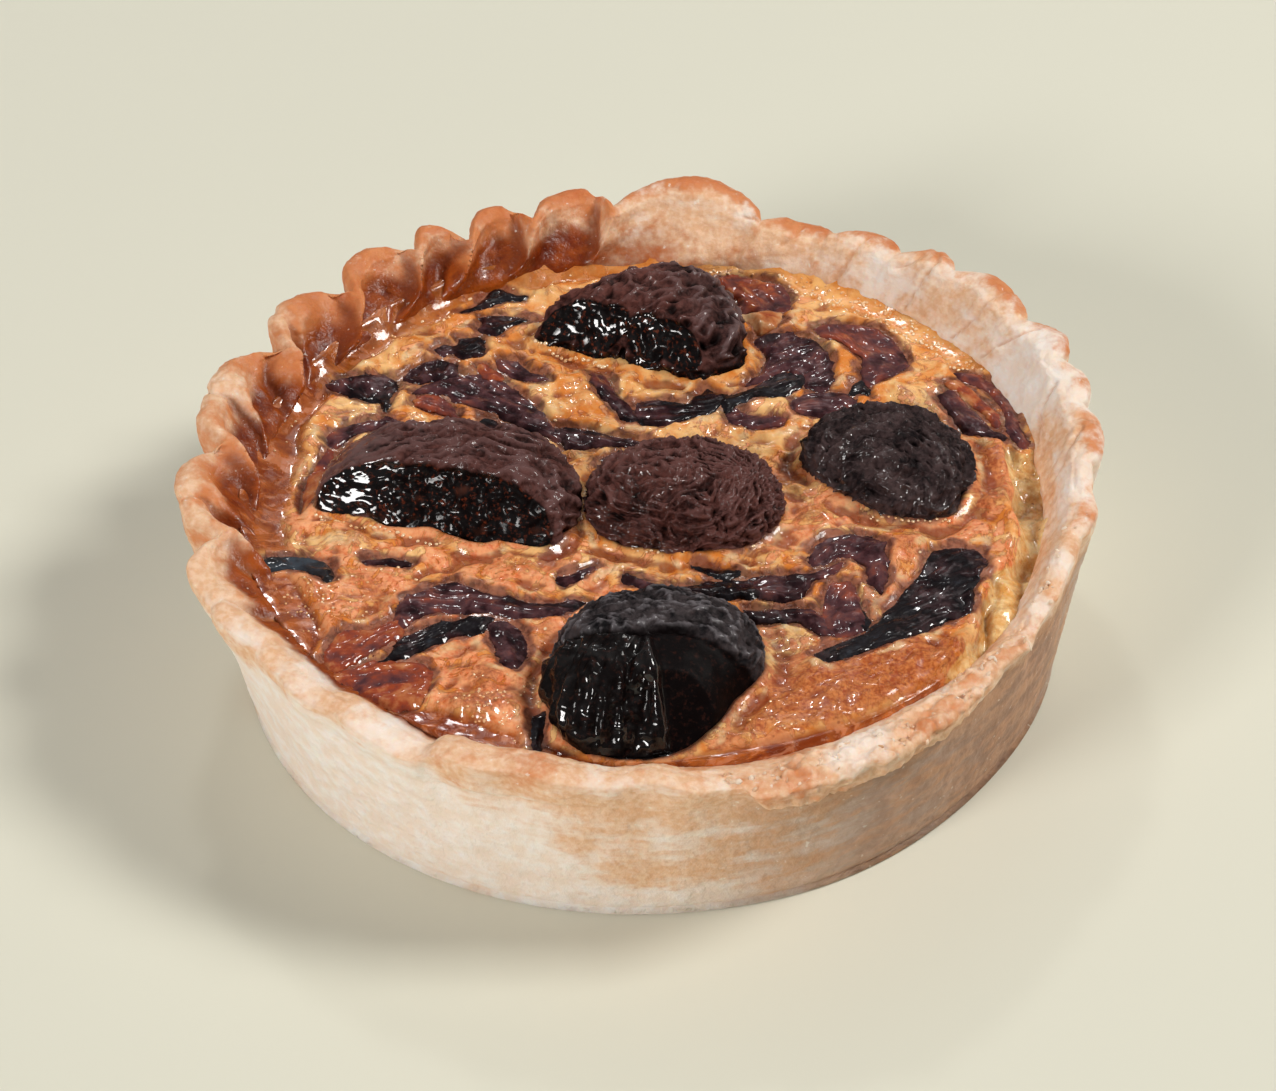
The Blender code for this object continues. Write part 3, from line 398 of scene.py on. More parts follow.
def along(values, t):
    """A smooth curve through the rows of values, at each t from 0 to 1."""
    values, place = np.asarray(values, float), np.asarray(t, float) * (len(values) - 1)
    i = np.clip(place.astype(int), 0, len(values) - 2)
    u = (place - i).reshape(-1, *[1] * (values.ndim - 1))
    before, a, b, after = (values[np.clip(i + k, 0, len(values) - 1)] for k in (-1, 0, 1, 2))
    leaving, arriving = (b - before) * 0.5, (after - a) * 0.5
    eased = 3 * u**2 - 2 * u**3
    return a * (1 - eased) + b * eased + leaving * (u**3 - 2 * u**2 + u) + arriving * (u**3 - u**2)


def shuffled(order, cell):
    """A number from 0 to 255 for each cell of space."""
    cell = cell & 255
    return order[(order[(order[cell[..., 0]] + cell[..., 1]) & 255] + cell[..., 2]) & 255]


def grain(points, seed):
    """Smooth noise over space, about -1 to 1, the same on every run."""
    draw = np.random.default_rng(seed)
    order, slopes = draw.permutation(256), draw.normal(size=(256, 3))
    slopes /= np.linalg.norm(slopes, axis=1, keepdims=True)
    cell = np.floor(points).astype(int)
    inside = points - cell
    ease = inside**3 * (inside * (inside * 6 - 15) + 10)
    total = np.zeros(points.shape[:-1])
    for corner in np.ndindex(2, 2, 2):
        toward = np.sum(slopes[shuffled(order, cell + corner)] * (inside - corner), axis=-1)
        total += toward * np.prod(np.where(np.array(corner) == 1, ease, 1 - ease), axis=-1)
    return total * 1.7


def layered(points, size, seed, layers=4, ridged=False):
    """Noise in ever finer layers, its coarsest swells about `size` across."""
    strength, total, whole = 1.0, 0.0, 0.0
    for layer in range(layers):
        value = grain(points / size, seed + layer)
        total = total + strength * (1 - 2 * np.abs(value) if ridged else value)
        whole, strength, size = whole + strength, strength * 0.5, size / 2.05
    return total / whole


def ridges(points, size, seed, layers=2):
    """Layered noise with sharp crests, 1 at the highest."""
    return layered(points, size, seed, layers, ridged=True)


def pitted(points, size, seed):
    """Distance to the nearest of scattered seeds, in seed spacings."""
    points = points / size
    cell = np.floor(points).astype(int)
    draw = np.random.default_rng(seed)
    order, jitter = draw.permutation(256), draw.random((256, 3))
    near = np.full(points.shape[:-1], 9.0)
    for step in np.ndindex(3, 3, 3):
        here = cell + step - 1
        near = np.minimum(near, np.linalg.norm(here + jitter[shuffled(order, here)] - points, axis=-1))
    return near


def clear_of_line(line, x, y):
    """How far these places are from a run of straight lines."""
    best = np.full(x.shape, 1e9)
    for (ax, ay), (bx, by) in zip(line, line[1:]):
        ex, ey = bx - ax, by - ay
        t = np.clip(((x - ax) * ex + (y - ay) * ey) / (ex * ex + ey * ey + 1e-12), 0, 1)
        best = np.minimum(best, np.hypot(x - ax - t * ex, y - ay - t * ey))
    return best


def clear_of_outline(outline, x, y):
    """How far outside a closed outline these places are; negative inside."""
    closed, inside = np.vstack([outline, outline[:1]]), np.zeros(x.shape, bool)
    for (ax, ay), (bx, by) in zip(closed, closed[1:]):
        inside ^= ((ay > y) != (by > y)) & (x < (bx - ax) * (y - ay) / (by - ay + 1e-12) + ax)
    away = clear_of_line(closed, x, y)
    return np.where(inside, -away, away)


# ---- meshes ----
def facing(rings):
    """The unit normal at each point of rings that close on themselves."""
    round_it = np.roll(rings, -1, axis=1) - np.roll(rings, 1, axis=1)
    normal = np.cross(round_it, np.gradient(rings, axis=0))
    return normal / np.maximum(np.linalg.norm(normal, axis=-1, keepdims=True), 1e-9)


def linked(name, data):
    """An object of this data, in the scene."""
    made = bpy.data.objects.new(name, data)
    bpy.context.scene.collection.objects.link(made)
    return made


def finished(name, points, faces, marks, finish):
    """A smooth piece: its points in millimetres, its faces, the numbers that mark its points, its finish."""
    mesh = bpy.data.meshes.new(name)
    mesh.from_pydata((points * MM).tolist(), [], faces)
    for mark, values in marks.items():
        mesh.attributes.new(mark, "FLOAT", "POINT").data.foreach_set("value", values.astype(np.float32))
    mesh.materials.append(finish)
    mesh.shade_smooth()
    return linked(name, mesh)


def skin(name, rings, first, last, marks, finish):
    """A piece with a closed skin over rings of points and a point past each end."""
    rows, count, _ = rings.shape
    points = np.concatenate([rings.reshape(-1, 3), [first, last]])
    step, last_row = np.arange(count), (rows - 1) * count
    after = (step + 1) % count
    a, b = (np.arange(rows - 1)[:, None] * count + side for side in (step, after))
    quads = np.stack([a, b, b + count, a + count], -1).reshape(-1, 4)
    low = np.stack([np.full(count, rows * count), after, step], -1)
    high = np.stack([np.full(count, rows * count + 1), last_row + step, last_row + after], -1)
    a, b, c = points[np.concatenate([quads[:, :3], quads[:, [0, 2, 3]], low, high])].transpose(1, 0, 2)
    if np.sum(np.cross(a, b) * c) < 0:
        quads, low, high = quads[:, ::-1], low[:, ::-1], high[:, ::-1]
    flat = {}
    for mark, values in marks.items():
        values = np.broadcast_to(values, (rows, count))
        flat[mark] = np.concatenate([values.reshape(-1), [values[0].mean(), values[-1].mean()]])
    return finished(name, points, quads.tolist() + low.tolist() + high.tolist(), flat, finish)


# ---- materials ----
class Value:
    """A number that varies over a surface; arithmetic on it adds Math nodes."""

    def __init__(self, finish, socket):
        self.finish, self.socket = finish, socket

    def __add__(self, other):
        return self.finish.maths("ADD", self, other)

    def __sub__(self, other):
        return self.finish.maths("SUBTRACT", self, other)

    def __mul__(self, other):
        return self.finish.maths("MULTIPLY", self, other)

    def __rsub__(self, other):
        return self.finish.maths("SUBTRACT", other, self)

    __radd__, __rmul__ = __add__, __mul__


class Finish:
    """A material and the means to write its nodes."""

    def __init__(self, name, **constants):
        self.material = bpy.data.materials.new(name)
        self.material.use_nodes = True
        self.nodes, self.links = self.material.node_tree.nodes, self.material.node_tree.links
        self.shader = self.nodes["Principled BSDF"]
        self.wear(**constants)
        where = self.node("ShaderNodeTexCoord").outputs["Object"]
        self.where = self.node("ShaderNodeVectorMath", {"operation": "SCALE"}, {0: where, "Scale": 1 / MM}).outputs[0]

    def node(self, kind, settings=None, inputs=None):
        made = self.nodes.new(kind)
        for name, value in (settings or {}).items():
            if name == "stops":
                band = made.color_ramp.elements
                while len(band) < len(value):
                    band.new(0.5)
                for element, (place, colour) in zip(band, value):
                    element.position, element.color = place, (*colour, 1)
            else:
                setattr(made, name, value)
        for name, value in (inputs or {}).items():
            self.feed(made.inputs[name], value)
        return made

    def feed(self, socket, value):
        value = value.socket if isinstance(value, Value) else value
        if isinstance(value, bpy.types.NodeSocket):
            self.links.new(value, socket)
        elif isinstance(value, tuple) and len(value) == 3 and socket.type == "RGBA":
            socket.default_value = (*value, 1)
        else:
            socket.default_value = value

    def maths(self, operation, a, b):
        return Value(self, self.node("ShaderNodeMath", {"operation": operation}, {0: a, 1: b}).outputs[0])

    def marks(self, names):
        """The numbers that the piece's points are marked with, by these names."""
        return [Value(self, self.node("ShaderNodeAttribute", {"attribute_name": name}).outputs["Fac"])
                for name in names.split()]

    def stretched(self, x, y, z):
        """The place on the piece with its axes stretched by these factors."""
        made = self.node("ShaderNodeVectorMath", {"operation": "MULTIPLY"}, {0: self.where, 1: (x, y, z)})
        return made.outputs[0]

    def noise(self, size, detail=3.0, roughness=0.5, place=None, distortion=0.0):
        """Noise from 0 to 1 whose coarsest swells are this many millimetres across."""
        made = self.node("ShaderNodeTexNoise", None, {
            "Vector": place or self.where, "Scale": 1.0 / size, "Detail": detail, "Roughness": roughness,
            "Distortion": distortion})
        return Value(self, made.outputs["Fac"])

    def pebbles(self, size):
        """The distance to the nearest of scattered points, which are this many millimetres apart."""
        made = self.node("ShaderNodeTexVoronoi", None, {"Vector": self.where, "Scale": 1.0 / size})
        return Value(self, made.outputs["Distance"])

    def between(self, value, low, high, to_low=0.0, to_high=1.0):
        """The value's run from low to high, eased, as a run from to_low to to_high."""
        made = self.node("ShaderNodeMapRange", {"interpolation_type": "SMOOTHSTEP"}, {
            "Value": value, "From Min": low, "From Max": high, "To Min": to_low, "To Max": to_high})
        return Value(self, made.outputs["Result"])

    def ramp(self, value, *stops):
        return self.node("ShaderNodeValToRGB", {"stops": stops}, {"Fac": value}).outputs["Color"]

    def mix(self, amount, a, b):
        """The first colour at 0, the second at 1."""
        made = self.node("ShaderNodeMix", {"data_type": "RGBA", "clamp_factor": True})
        for socket, value in ((made.inputs[0], amount), (made.inputs[6], a), (made.inputs[7], b)):
            self.feed(socket, value)
        return made.outputs[2]

    def tint(self, value, low, high, first, second):
        """The first colour below low, the second above high."""
        return self.mix(self.between(value, low, high), first, second)

    def covered(self, colour, *coats):
        """A colour under coats of other colours, each with how much of it covers the rest."""
        for amount, coat in coats:
            colour = self.mix(amount, colour, coat)
        return colour

    def bump(self, *steps):
        """A normal from heights, each with its distance in millimetres and its strength."""
        normal = None
        for height, distance, strength in steps:
            inputs = {"Height": height, "Distance": distance * MM, "Strength": strength}
            if normal is not None:
                inputs["Normal"] = normal
            normal = self.node("ShaderNodeBump", None, inputs).outputs["Normal"]
        return normal

    def wear(self, **inputs):
        """The material, after its shader has been given these values."""
        for socket, value in inputs.items():
            self.feed(self.shader.inputs[socket.replace("_", " ").title().replace("Ior", "IOR")], value)
        return self.material


def pastry_finish():
    """Baked shortcrust: pale, with peach blotches, toasted edges and an orange, fat-soaked inside; painted shade in
    its creases, on the inside at the left and on the right front of the outer wall, and painted light on its left
    front.
    """
    f = Finish("baked_shortcrust", subsurface_weight=0.18, subsurface_radius=(1.0, 0.45, 0.2),
               subsurface_scale=0.0016, specular_ior_level=0.34, coat_roughness=0.14, coat_ior=1.45)
    soak, baked, crease, edge, wall, blush_and_light_mark, oil = f.marks("soak baked crease edge wall blush oil")
    blotch, fine, speck = f.noise(11, 5, 0.62), f.noise(2.3, 4, 0.6), f.noise(0.9, 2, 0.5)
    streak = f.noise(5, 4, 0.6, f.stretched(0.55, 0.55, 2.4))
    pale = f.tint(fine, 0.35, 0.7, (0.885, 0.73, 0.61), (0.915, 0.84, 0.775))
    peach = f.tint(speck, 0.3, 0.7, (0.76, 0.44, 0.25), (0.85, 0.58, 0.39))
    toast = f.tint(fine, 0.3, 0.7, (0.56, 0.15, 0.04), (0.67, 0.25, 0.09))
    # fat stain and painted shade: the soaked inside is dark orange-brown, darkest at the left
    burnt = f.tint(fine * 0.6 + blotch * 0.4, 0.36, 0.66, (0.15, 0.018, 0.002), (0.37, 0.074, 0.006))
    # painted shade in the creases: orange where the rim is pale at the right, dark red-brown in the crevices under
    # the folds at the left
    groove = f.tint(baked, 0.6, 1.0, (0.60, 0.25, 0.095), (0.22, 0.042, 0.01))
    # painted shade on the outer wall, tan-brown and streaked
    shade_tan = f.tint(streak * 0.6 + fine * 0.4, 0.4, 0.6, (0.26, 0.115, 0.056), (0.50, 0.26, 0.145))
    # peach blotches, and painted light that leaves the lit left front of the wall paler
    blush = blotch * 0.62 + streak * 0.38 + fine * 0.20 + baked * 0.18 + blush_and_light_mark * 0.16
    browned = (fine - 0.5) * 0.9 + (blotch - 0.5) * 1.1 + baked * 0.42 + edge * 0.50
    colour = f.covered(
        pale, (f.between(blush, 0.55, 0.72), peach), (f.between(browned, 0.24, 0.64), toast),
        (f.between(soak + (fine - 0.5) * 0.5 + (blotch - 0.5) * 0.6, 0.30, 0.92), burnt),
        (f.between(crease, 0.05, 1.0) * 0.85, groove),
        (f.between(wall + (streak - 0.5) * 0.5, 0.1, 0.9) * 0.92, shade_tan),
        (f.between(speck, 0.69, 0.76) * 0.55, (0.86, 0.79, 0.70)))
    return f.wear(
        base_color=colour, roughness=f.between(soak + baked * 0.25 + (fine - 0.5) * 0.7, 0.2, 1.0, 0.58, 0.36),
        coat_weight=f.between(oil + (blotch - 0.5) * 1.2, 0.40, 1.0) * 0.55,
        normal=f.bump((f.noise(0.8, 3, 0.6), 0.18, 0.8), (fine, 0.50, 0.6), (streak, 0.35, 0.5)))


def custard_finish():
    """Set custard: glossy amber under patches of salmon film, toasted specks, cream ridges, fat and curds, with
    painted shade in its hollows and some valleys.
    """
    f = Finish("browned_custard", subsurface_weight=0.10, subsurface_radius=(1.0, 0.40, 0.12),
               subsurface_scale=0.0010, specular_ior_level=0.2, coat_roughness=0.07, coat_ior=1.5)
    brown, halo, stain, cream, fat, burnt, curd, salmon, rust, pale, hollow, gloss = f.marks(
        "brown halo stain cream fat burnt curd salmon rust pale hollow gloss")
    blotch, patch = f.noise(7, 4, 0.58, distortion=0.8), f.noise(4.6, 5, 0.62, distortion=1.8)
    fine, grainy, speckle = f.noise(1.4, 4, 0.62), f.noise(0.5, 2, 0.6), f.noise(0.95, 3, 0.72, distortion=0.6)
    film = patch + (salmon - 0.5) * 0.16
    amber = f.tint(blotch * 0.75 + fine * 0.25, 0.40, 0.60, (0.70, 0.215, 0.034), (0.91, 0.53, 0.21))
    rosy = f.tint(patch * 0.4 + fine * 0.35 + grainy * 0.25, 0.40, 0.60, (0.68, 0.155, 0.042), (0.91, 0.41, 0.19))
    toast = f.tint(grainy, 0.35, 0.65, (0.20, 0.032, 0.008), (0.46, 0.105, 0.026))
    # rust-brown browning, also painted shade in some valleys and where the front mushroom meets the rim
    rusty = f.tint(grainy * 0.5 + fine * 0.5, 0.38, 0.62, (0.34, 0.062, 0.014), (0.62, 0.20, 0.052))
    creamy = f.tint(fine, 0.35, 0.65, (0.70, 0.40, 0.17), (0.82, 0.60, 0.34))
    pool = f.tint(blotch * 0.7 + fine * 0.3, 0.38, 0.62, (0.68, 0.23, 0.04), (0.85, 0.44, 0.145))
    dark_pool = f.tint(blotch * 0.5 + patch * 0.5, 0.40, 0.62, (0.18, 0.02, 0.001), (0.50, 0.115, 0.008))
    curds = f.tint(blotch * 0.4 + fine * 0.6, 0.38, 0.62, (0.68, 0.32, 0.075), (0.89, 0.66, 0.33))
    stained = f.tint(fine, 0.38, 0.62, (0.052, 0.014, 0.014), (0.25, 0.085, 0.055))
    film_rim = f.between(film, 0.46, 0.50) * (1 - f.between(film, 0.50, 0.53))
    toasted = f.between(brown + rust * 0.45 + (speckle - 0.5) * 1.2 + (blotch - 0.5) * 1.2, 0.42, 0.95)
    lightened = f.maths("MAXIMUM", cream, pale) + (fine - 0.5) * 0.35 + (patch - 0.5) * 0.9
    # painted shade: the skin's hollows are darker red-brown
    hollow_shading = f.between(hollow + (fine - 0.5) * 0.4, 0.10, 0.8) * (1 - fat) * (1 - curd * 0.85)
    colour = f.covered(
        amber, (f.between(film, 0.495, 0.54), rosy), (film_rim * 0.6, (0.36, 0.075, 0.014)), (toasted * 0.74, toast),
        (f.between(rust + (patch - 0.5) * 1.7 + (fine - 0.5) * 0.6, 0.2, 0.9) * 0.80, rusty),
        (f.between(lightened, 0.34, 0.95) * 0.75, creamy), (fat * 0.94, f.mix(burnt, pool, dark_pool)),
        (f.between(patch * 0.6 + fine * 0.4, 0.52, 0.57) * burnt * 0.28, (0.66, 0.32, 0.20)),
        (f.between(curd + (fine - 0.5) * 0.3, 0.35, 0.65), curds),
        (f.between(curd * pale, 0.15, 0.8) * 0.8, (0.42, 0.14, 0.025)),
        (f.between(stain + (fine - 0.5) * 0.5 + (patch - 0.5) * 0.9, 0.30, 0.85) * 0.86, stained),
        (hollow_shading * 0.78, (0.23, 0.038, 0.01)),
        (f.between(halo + (fine - 0.5) * 0.35, 0.2, 0.9) * 0.9, (0.045, 0.016, 0.012)),
        (f.between(f.pebbles(2.5), 0.13, 0.05) * f.between(patch, 0.42, 0.55) * 0.6, (0.18, 0.03, 0.01)))
    wet = fat * 0.3 + curd * 0.3 + gloss * 0.7 + (blotch - 0.5) * 2.2 + (grainy - 0.5) * 0.7 + 0.42
    return f.wear(
        base_color=colour, roughness=f.between(film + (grainy - 0.5) * 0.6 - fat * 0.3, 0.2, 0.8, 0.22, 0.46),
        coat_weight=f.between(wet, 0.25, 0.95, 0.05, 0.90),
        normal=f.bump((grainy, 0.06, 0.6), (fine, 0.20, 0.5), (f.between(film, 0.49, 0.54), 0.18, 0.6)))


def mushroom_finish():
    """Roast mushroom: purple-black leathery skin, and red-brown wet flesh where it was cut; painted sheen on the
    crests of its wrinkles, and painted shade in its grooves.
    """
    f = Finish("roast_mushroom", specular_ior_level=0.06, coat_roughness=0.07, coat_ior=1.5)
    cut, groove, crest, blue, worn, wet = f.marks("cut groove crest blue worn wet")
    blotch, fine, fleck = f.noise(4, 4, 0.6), f.noise(0.8, 4, 0.68), f.noise(0.65, 3, 0.65)
    mottle = blotch * 0.6 + fine * 0.4
    brown_skin = f.tint(mottle, 0.36, 0.64, (0.014, 0.0045, 0.004), (0.125, 0.044, 0.036))
    blue_skin = f.tint(mottle, 0.36, 0.64, (0.0035, 0.0035, 0.0045), (0.05, 0.042, 0.044))
    red_flesh = f.tint(fleck, 0.53, 0.72, (0.002, 0.0006, 0.0008), (0.12, 0.023, 0.008))
    black_flesh = f.tint(fleck, 0.50, 0.75, (0.0016, 0.0008, 0.001), (0.024, 0.01, 0.008))
    colour = f.covered(
        brown_skin, (blue, blue_skin),
        (f.between(cut + (blotch - 0.5) * 0.3, 0.25, 0.7), f.mix(blue * 0.85, red_flesh, black_flesh)),
        (worn, (0.15, 0.045, 0.026)),
        # painted sheen: the crests of the wrinkles are lighter, brown-grey or blue-grey
        (f.between(crest + (fine - 0.5) * 0.6, 0.25, 0.95) * 0.85,
         f.mix(blue, (0.13, 0.056, 0.05), (0.15, 0.138, 0.148))),
        # painted shade: the grooves and pits are near black
        (f.between(groove, 0.15, 0.9) * 0.92, (0.0025, 0.0008, 0.0008)))
    return f.wear(
        base_color=colour, roughness=f.between(fine * 0.5 + crest * 0.5, 0.2, 0.7, 0.56, 0.30),
        coat_weight=f.between(wet + (fine - 0.5) * 0.3 + (blotch - 0.5) * 0.4, 0.12, 0.85),
        normal=f.bump((fine, 0.12, 0.6)))


def onion_finish():
    """Caramelised onion: black, purple or amber by its tone, with veins along it and wet edges."""
    f = Finish("caramelised_onion", specular_ior_level=0.06, subsurface_weight=0.06,
               subsurface_radius=(1.0, 0.3, 0.15), subsurface_scale=0.001, coat_roughness=0.05, coat_ior=1.5)
    tone, edge, vein = f.marks("tone edge vein")
    blotch, fine = f.noise(3.2, 4, 0.6), f.noise(0.8, 3, 0.6)
    toned = f.ramp(
        tone * 0.5 + (blotch - 0.5) * 0.8 + 0.165 + vein * 0.08,
        (0, (0.04, 0.05, 0.064)), (0.10, (0.014, 0.012, 0.015)), (0.22, (0.004, 0.002, 0.003)),
        (0.34, (0.022, 0.006, 0.008)), (0.46, (0.08, 0.028, 0.032)), (0.56, (0.155, 0.04, 0.032)),
        (0.66, (0.30, 0.052, 0.018)), (0.78, (0.52, 0.18, 0.06)), (0.92, (0.68, 0.42, 0.22)))
    colour = f.mix(f.between(edge + (fine - 0.5) * 0.6, 0.55, 1.1) * 0.6, toned, (0.016, 0.004, 0.005))
    glazed = f.between(blotch * 0.7 + fine * 0.3 + edge * 0.08, 0.44, 0.60, 0.12, 1.0)
    return f.wear(base_color=colour, roughness=0.45, coat_weight=glazed, normal=f.bump((fine, 0.16, 0.6)))


# ---- pastry case ----
def tucks():
    """Where each crimp's tuck is, and how deep."""
    return [(start, tuck) for start, _, tuck in CRIMPS]


def from_first_crimp(angle):
    """The same angles, counted on from the first crimp's."""
    return (angle - CRIMPS[0][0]) % 360 + CRIMPS[0][0]


def crimped(angle, before=TUCK_BEFORE_DEG, after=TUCK_AFTER_DEG, minor=()):
    """The crimps at these angles: out, and the nose of each tuck."""
    angle = from_first_crimp(angle)
    out, nose = np.zeros_like(angle), np.zeros_like(angle)
    for (start, bulge, _), (end, _, _) in zip(CRIMPS, CRIMPS[1:]):
        share = np.clip((angle - start) / (end - start), 0, 1)
        out += bulge * np.maximum(0, np.sin(np.pi * share**0.6)) ** 0.8
    for start, tuck in (*tucks(), *minor):
        nose += tuck * hump(angle - start, np.where(angle > start, after, before))
    return out, nose


def crease_lines(angle, share, rolled):
    """The folds' creases at these angles and shares of the rim's height."""
    angle = from_first_crimp(angle)
    groove = np.zeros_like(angle)
    for start, tuck in (*tucks(), *MINOR_FOLDS):
        away = (angle - start - 1.3 * rolled + 0.6 * np.sin(share * 5 + start)) * 0.95
        groove = np.maximum(groove, min(1.0, 0.3 + 0.25 * tuck) * hump(away, 0.32 + 0.28 * rolled))
    return groove * (0.25 + 0.75 * rolled)


def case_section():
    """The radius, the level and the share of the inner face down the rows of the case."""
    table = np.array([row[:3] for row in SECTION])
    place = [i + np.arange(row[3]) / row[3] for i, row in enumerate(SECTION[:-1])]
    radius, level, inner = along(table, np.concatenate(place) / (len(SECTION) - 1)).T
    return radius, np.maximum(0, level), np.clip(inner, 0, 1)


def case_rings():
    """The case's rings of points, and the numbers that mark them."""
    angle = np.arange(CASE_COLUMNS) * 360 / CASE_COLUMNS
    radius, level, inner, angle = np.broadcast_arrays(*(v[:, None] for v in case_section()), angle)
    outer, turn = 1 - inner, np.radians(angle)
    share = np.clip((level - 23.5) / 6.5, 0, 1)
    twisted = angle - around(FOLD_SKEW, angle) * (1 - share) * inner
    out, nose = crimped(twisted)
    fold = crimped(twisted, 3.2, 1.1, MINOR_FOLDS)[1]
    roll = around(ROLLED, angle)

    # the crimps' lobes and tucks, the rim's lean and how unevenly it is pressed
    swing = sum(s * np.sin(w * turn + a) for w, s, _, a in RIM_WEAR)
    lift = sum(h * np.cos(w * turn + a) for w, _, h, a in RIM_WEAR)
    lift = lift + (0.3 - 0.2 * roll) * out - (0.3 - 0.2 * roll) * nose
    reach = inner * (0.10 + 0.75 * roll) * blend(24.3, 28.5, level) + outer * blend(11.0, 28.5, level)
    shift = (out + swing) * reach
    shift -= inner * fold * (0.15 + 0.85 * roll) * blend(23.8, 27.4, level) + outer * nose * blend(13.0, 28.5, level)
    shift += around(RIM_LEAN, angle) * (inner * blend(24, 29, level) + outer * blend(10, 28, level))
    # the inside slopes in: flat and wide at the right, a thick roll at the left and back
    puffed, sloped = 1 - blend(24.2, 29.4, level), np.clip((30.4 - level) / 6.4, 0, 1)
    shift -= inner * around(SLOPE_IN, angle) * blend(19, 22.5, level) * (roll * puffed + (1 - roll) * sloped)
    shift += outer * around(WALL_PULL, angle) * (radius > 40)
    rise = (around(CREST_HEIGHT, angle) - 20) / 10
    z = np.where(level > 20, 20 + (level - 20) * rise + lift * blend(25, 29.5, level), level)
    # the tucks' noses stand up a little, and the hollows between them sink
    z = z + inner * roll * hump(level - 28.8, 2.6) * (0.22 * fold - 0.30 * out)

    # the lap: pastry folded outwards over the wall, with a ragged lower edge
    lap_span = blend(279.4, 280.6, angle + 0.55 * (z - 24)) * (1 - blend(302, 322, angle))
    ragged = 0.9 * grain(at(turn * 20, 0, 3.1), 61) + 0.4 * grain(at(turn * 55, 0, 3.1), 62)
    lap_edge = 20.3 + ragged + 0.06 * (angle - 281)
    lap = 1.9 * lap_span * blend(lap_edge - 0.15, lap_edge + 0.45, z) * outer
    # a thin flap on the front left with a low edge
    flap_span = blend(241, 242.5, angle) * (1 - blend(258, 266, angle))
    flap_edge = 20.4 + 0.05 * (angle - 242) + 0.3 * grain(at(turn * 14, 0), 63)
    shift += lap + 0.45 * flap_span * blend(flap_edge - 0.2, flap_edge + 0.4, z) * outer

    ring = radius + shift * (radius > 40)
    rings = at(ring * np.cos(turn), ring * np.sin(turn), z)
    normal = facing(rings)
    if np.mean(np.sum(normal[-12] * rings[-12], axis=-1)) < 0:
        normal = -normal

    seen = blend(19.0, 22.0, level) * inner + outer * blend(0.0, 1.5, z)
    on_rim = inner * blend(24.0, 26.0, level) + outer * blend(24.0, 28.5, level)
    groove = crease_lines(twisted, share, roll)
    crack = np.min([clear_of_line(line, ring * np.cos(turn), ring * np.sin(turn)) for line in CRACKS], axis=0)
    crack = np.where(level > 24.5, crack + 0.25 * layered(rings, 1.2, 57, 2), 9.0)
    split = hump(crack, 0.24)
    push = -0.85 * groove * on_rim - 0.32 * split + 0.25 * hump(crack - 0.9, 0.6) * inner
    # fine wrinkles that run up and over the wide lobe and the right of the rim
    lobe = blend(60, 76, angle) * (1 - blend(90, 100, angle))
    push += 0.18 * layered(at(turn * 46, share * 1.2), 1.0, 21, 3) * on_rim * (0.35 + 0.65 * lobe)
    push += 0.30 * layered(rings, 5.0, 43, 3) * on_rim
    # rolled dough on the wall: long low swells, lengthwise streaks, dents and crumb
    wall = outer * blend(0.5, 4, z)
    slanted = blend(285, 300, angle) * (1 - blend(352, 359.9, angle))
    push += 0.16 * layered(at(turn * 5.5, z / 2.2, 7.7), 1.0, 31) * wall
    push += 0.42 * layered(rings, 13.0, 35, 2) * wall
    push += 0.11 * layered(at(turn * 30 + z * 0.5, z / 9.0), 1.0, 41, 3) * wall * slanted
    push += ((0.16 + 0.24 * roll * inner) * layered(rings, 2.8, 45, 3) + 0.11 * layered(rings, 0.9, 47, 2)) * seen
    # crumbling, flaky lip on the lap and on to the right
    flaky = blend(281, 286, angle) * (1 - blend(322, 336, angle))
    flakes = 0.55 - 0.75 * pitted(rings * [1, 1, 1.3], 1.7, 51) + 0.20 * layered(rings, 1.2, 53, 2)
    push += flaky * (blend(27.5, 30.0, level) * 1.3 + lap / 1.5 * 0.8) * flakes
    rings = rings + normal * (push * seen)[..., None]
    bite = flaky * inner * blend(25, 29, level) * layered(at(turn * 26, 0), 1.0, 55, 3)
    rings[..., 2] = np.maximum(rings[..., 2] + 0.65 * bite, 0)

    # the soak also carries painted shade on the inner wall at the left
    soak = around(SOAK_AND_SHADE, angle) * inner
    low_wall = blend(2, 8, z) * (1 - blend(21, 25, z))
    toasted = (0.35 + 0.65 * blend(0.2, 1.2, out)) * around(TOASTED, angle)
    # the folds' creases and the cracks carry painted shade
    creased = groove * on_rim * inner * (1 - 0.6 * blend(28.8, 30.0, level))
    oiled = soak * (1.0 - 0.9 * blend(24.6, 27.6, level)) + 0.18 * roll * blend(1.0, 2.6, fold)
    return rings, {
        "soak": np.clip(soak * (1.30 - 1.1 * blend(26.0, 29.8, level) - 0.08 * fold), 0, 1.2),
        "oil": np.clip(oiled, 0, 1),
        "baked": around(BAKED, angle) * blend(14, 27, level) - 0.35 * outer * (1 - blend(14, 24, z)),
        "crease": np.clip(np.maximum(creased, 0.65 * split), 0, 1),
        "edge": np.clip(blend(0.9, 0.2, inner) * blend(26.6, 29.2, level) * toasted, -1, 1.2),
        "blush": outer * around(BLUSH_AND_LIGHT, angle) * low_wall,
        # painted shade, tan-brown, on the right front of the outer wall
        "wall": outer * around(WALL_SHADE, angle) * (1 - blend(21, 26, z)) * (1 - lap / 1.5),
    }


# ---- custard ----
def custard_height(x, y):
    """The custard's level with its mounds and valleys, as the solid has it."""
    level = CUSTARD_LEVEL + 0 * x
    for mx, my, long_half, wide_half, turn, height in MOUNDS:
        run, side = turned(x - mx, y - my, turn)
        level = level + height * np.exp(-1.4 * ((run / long_half) ** 2 + (side / wide_half) ** 2))
    return level


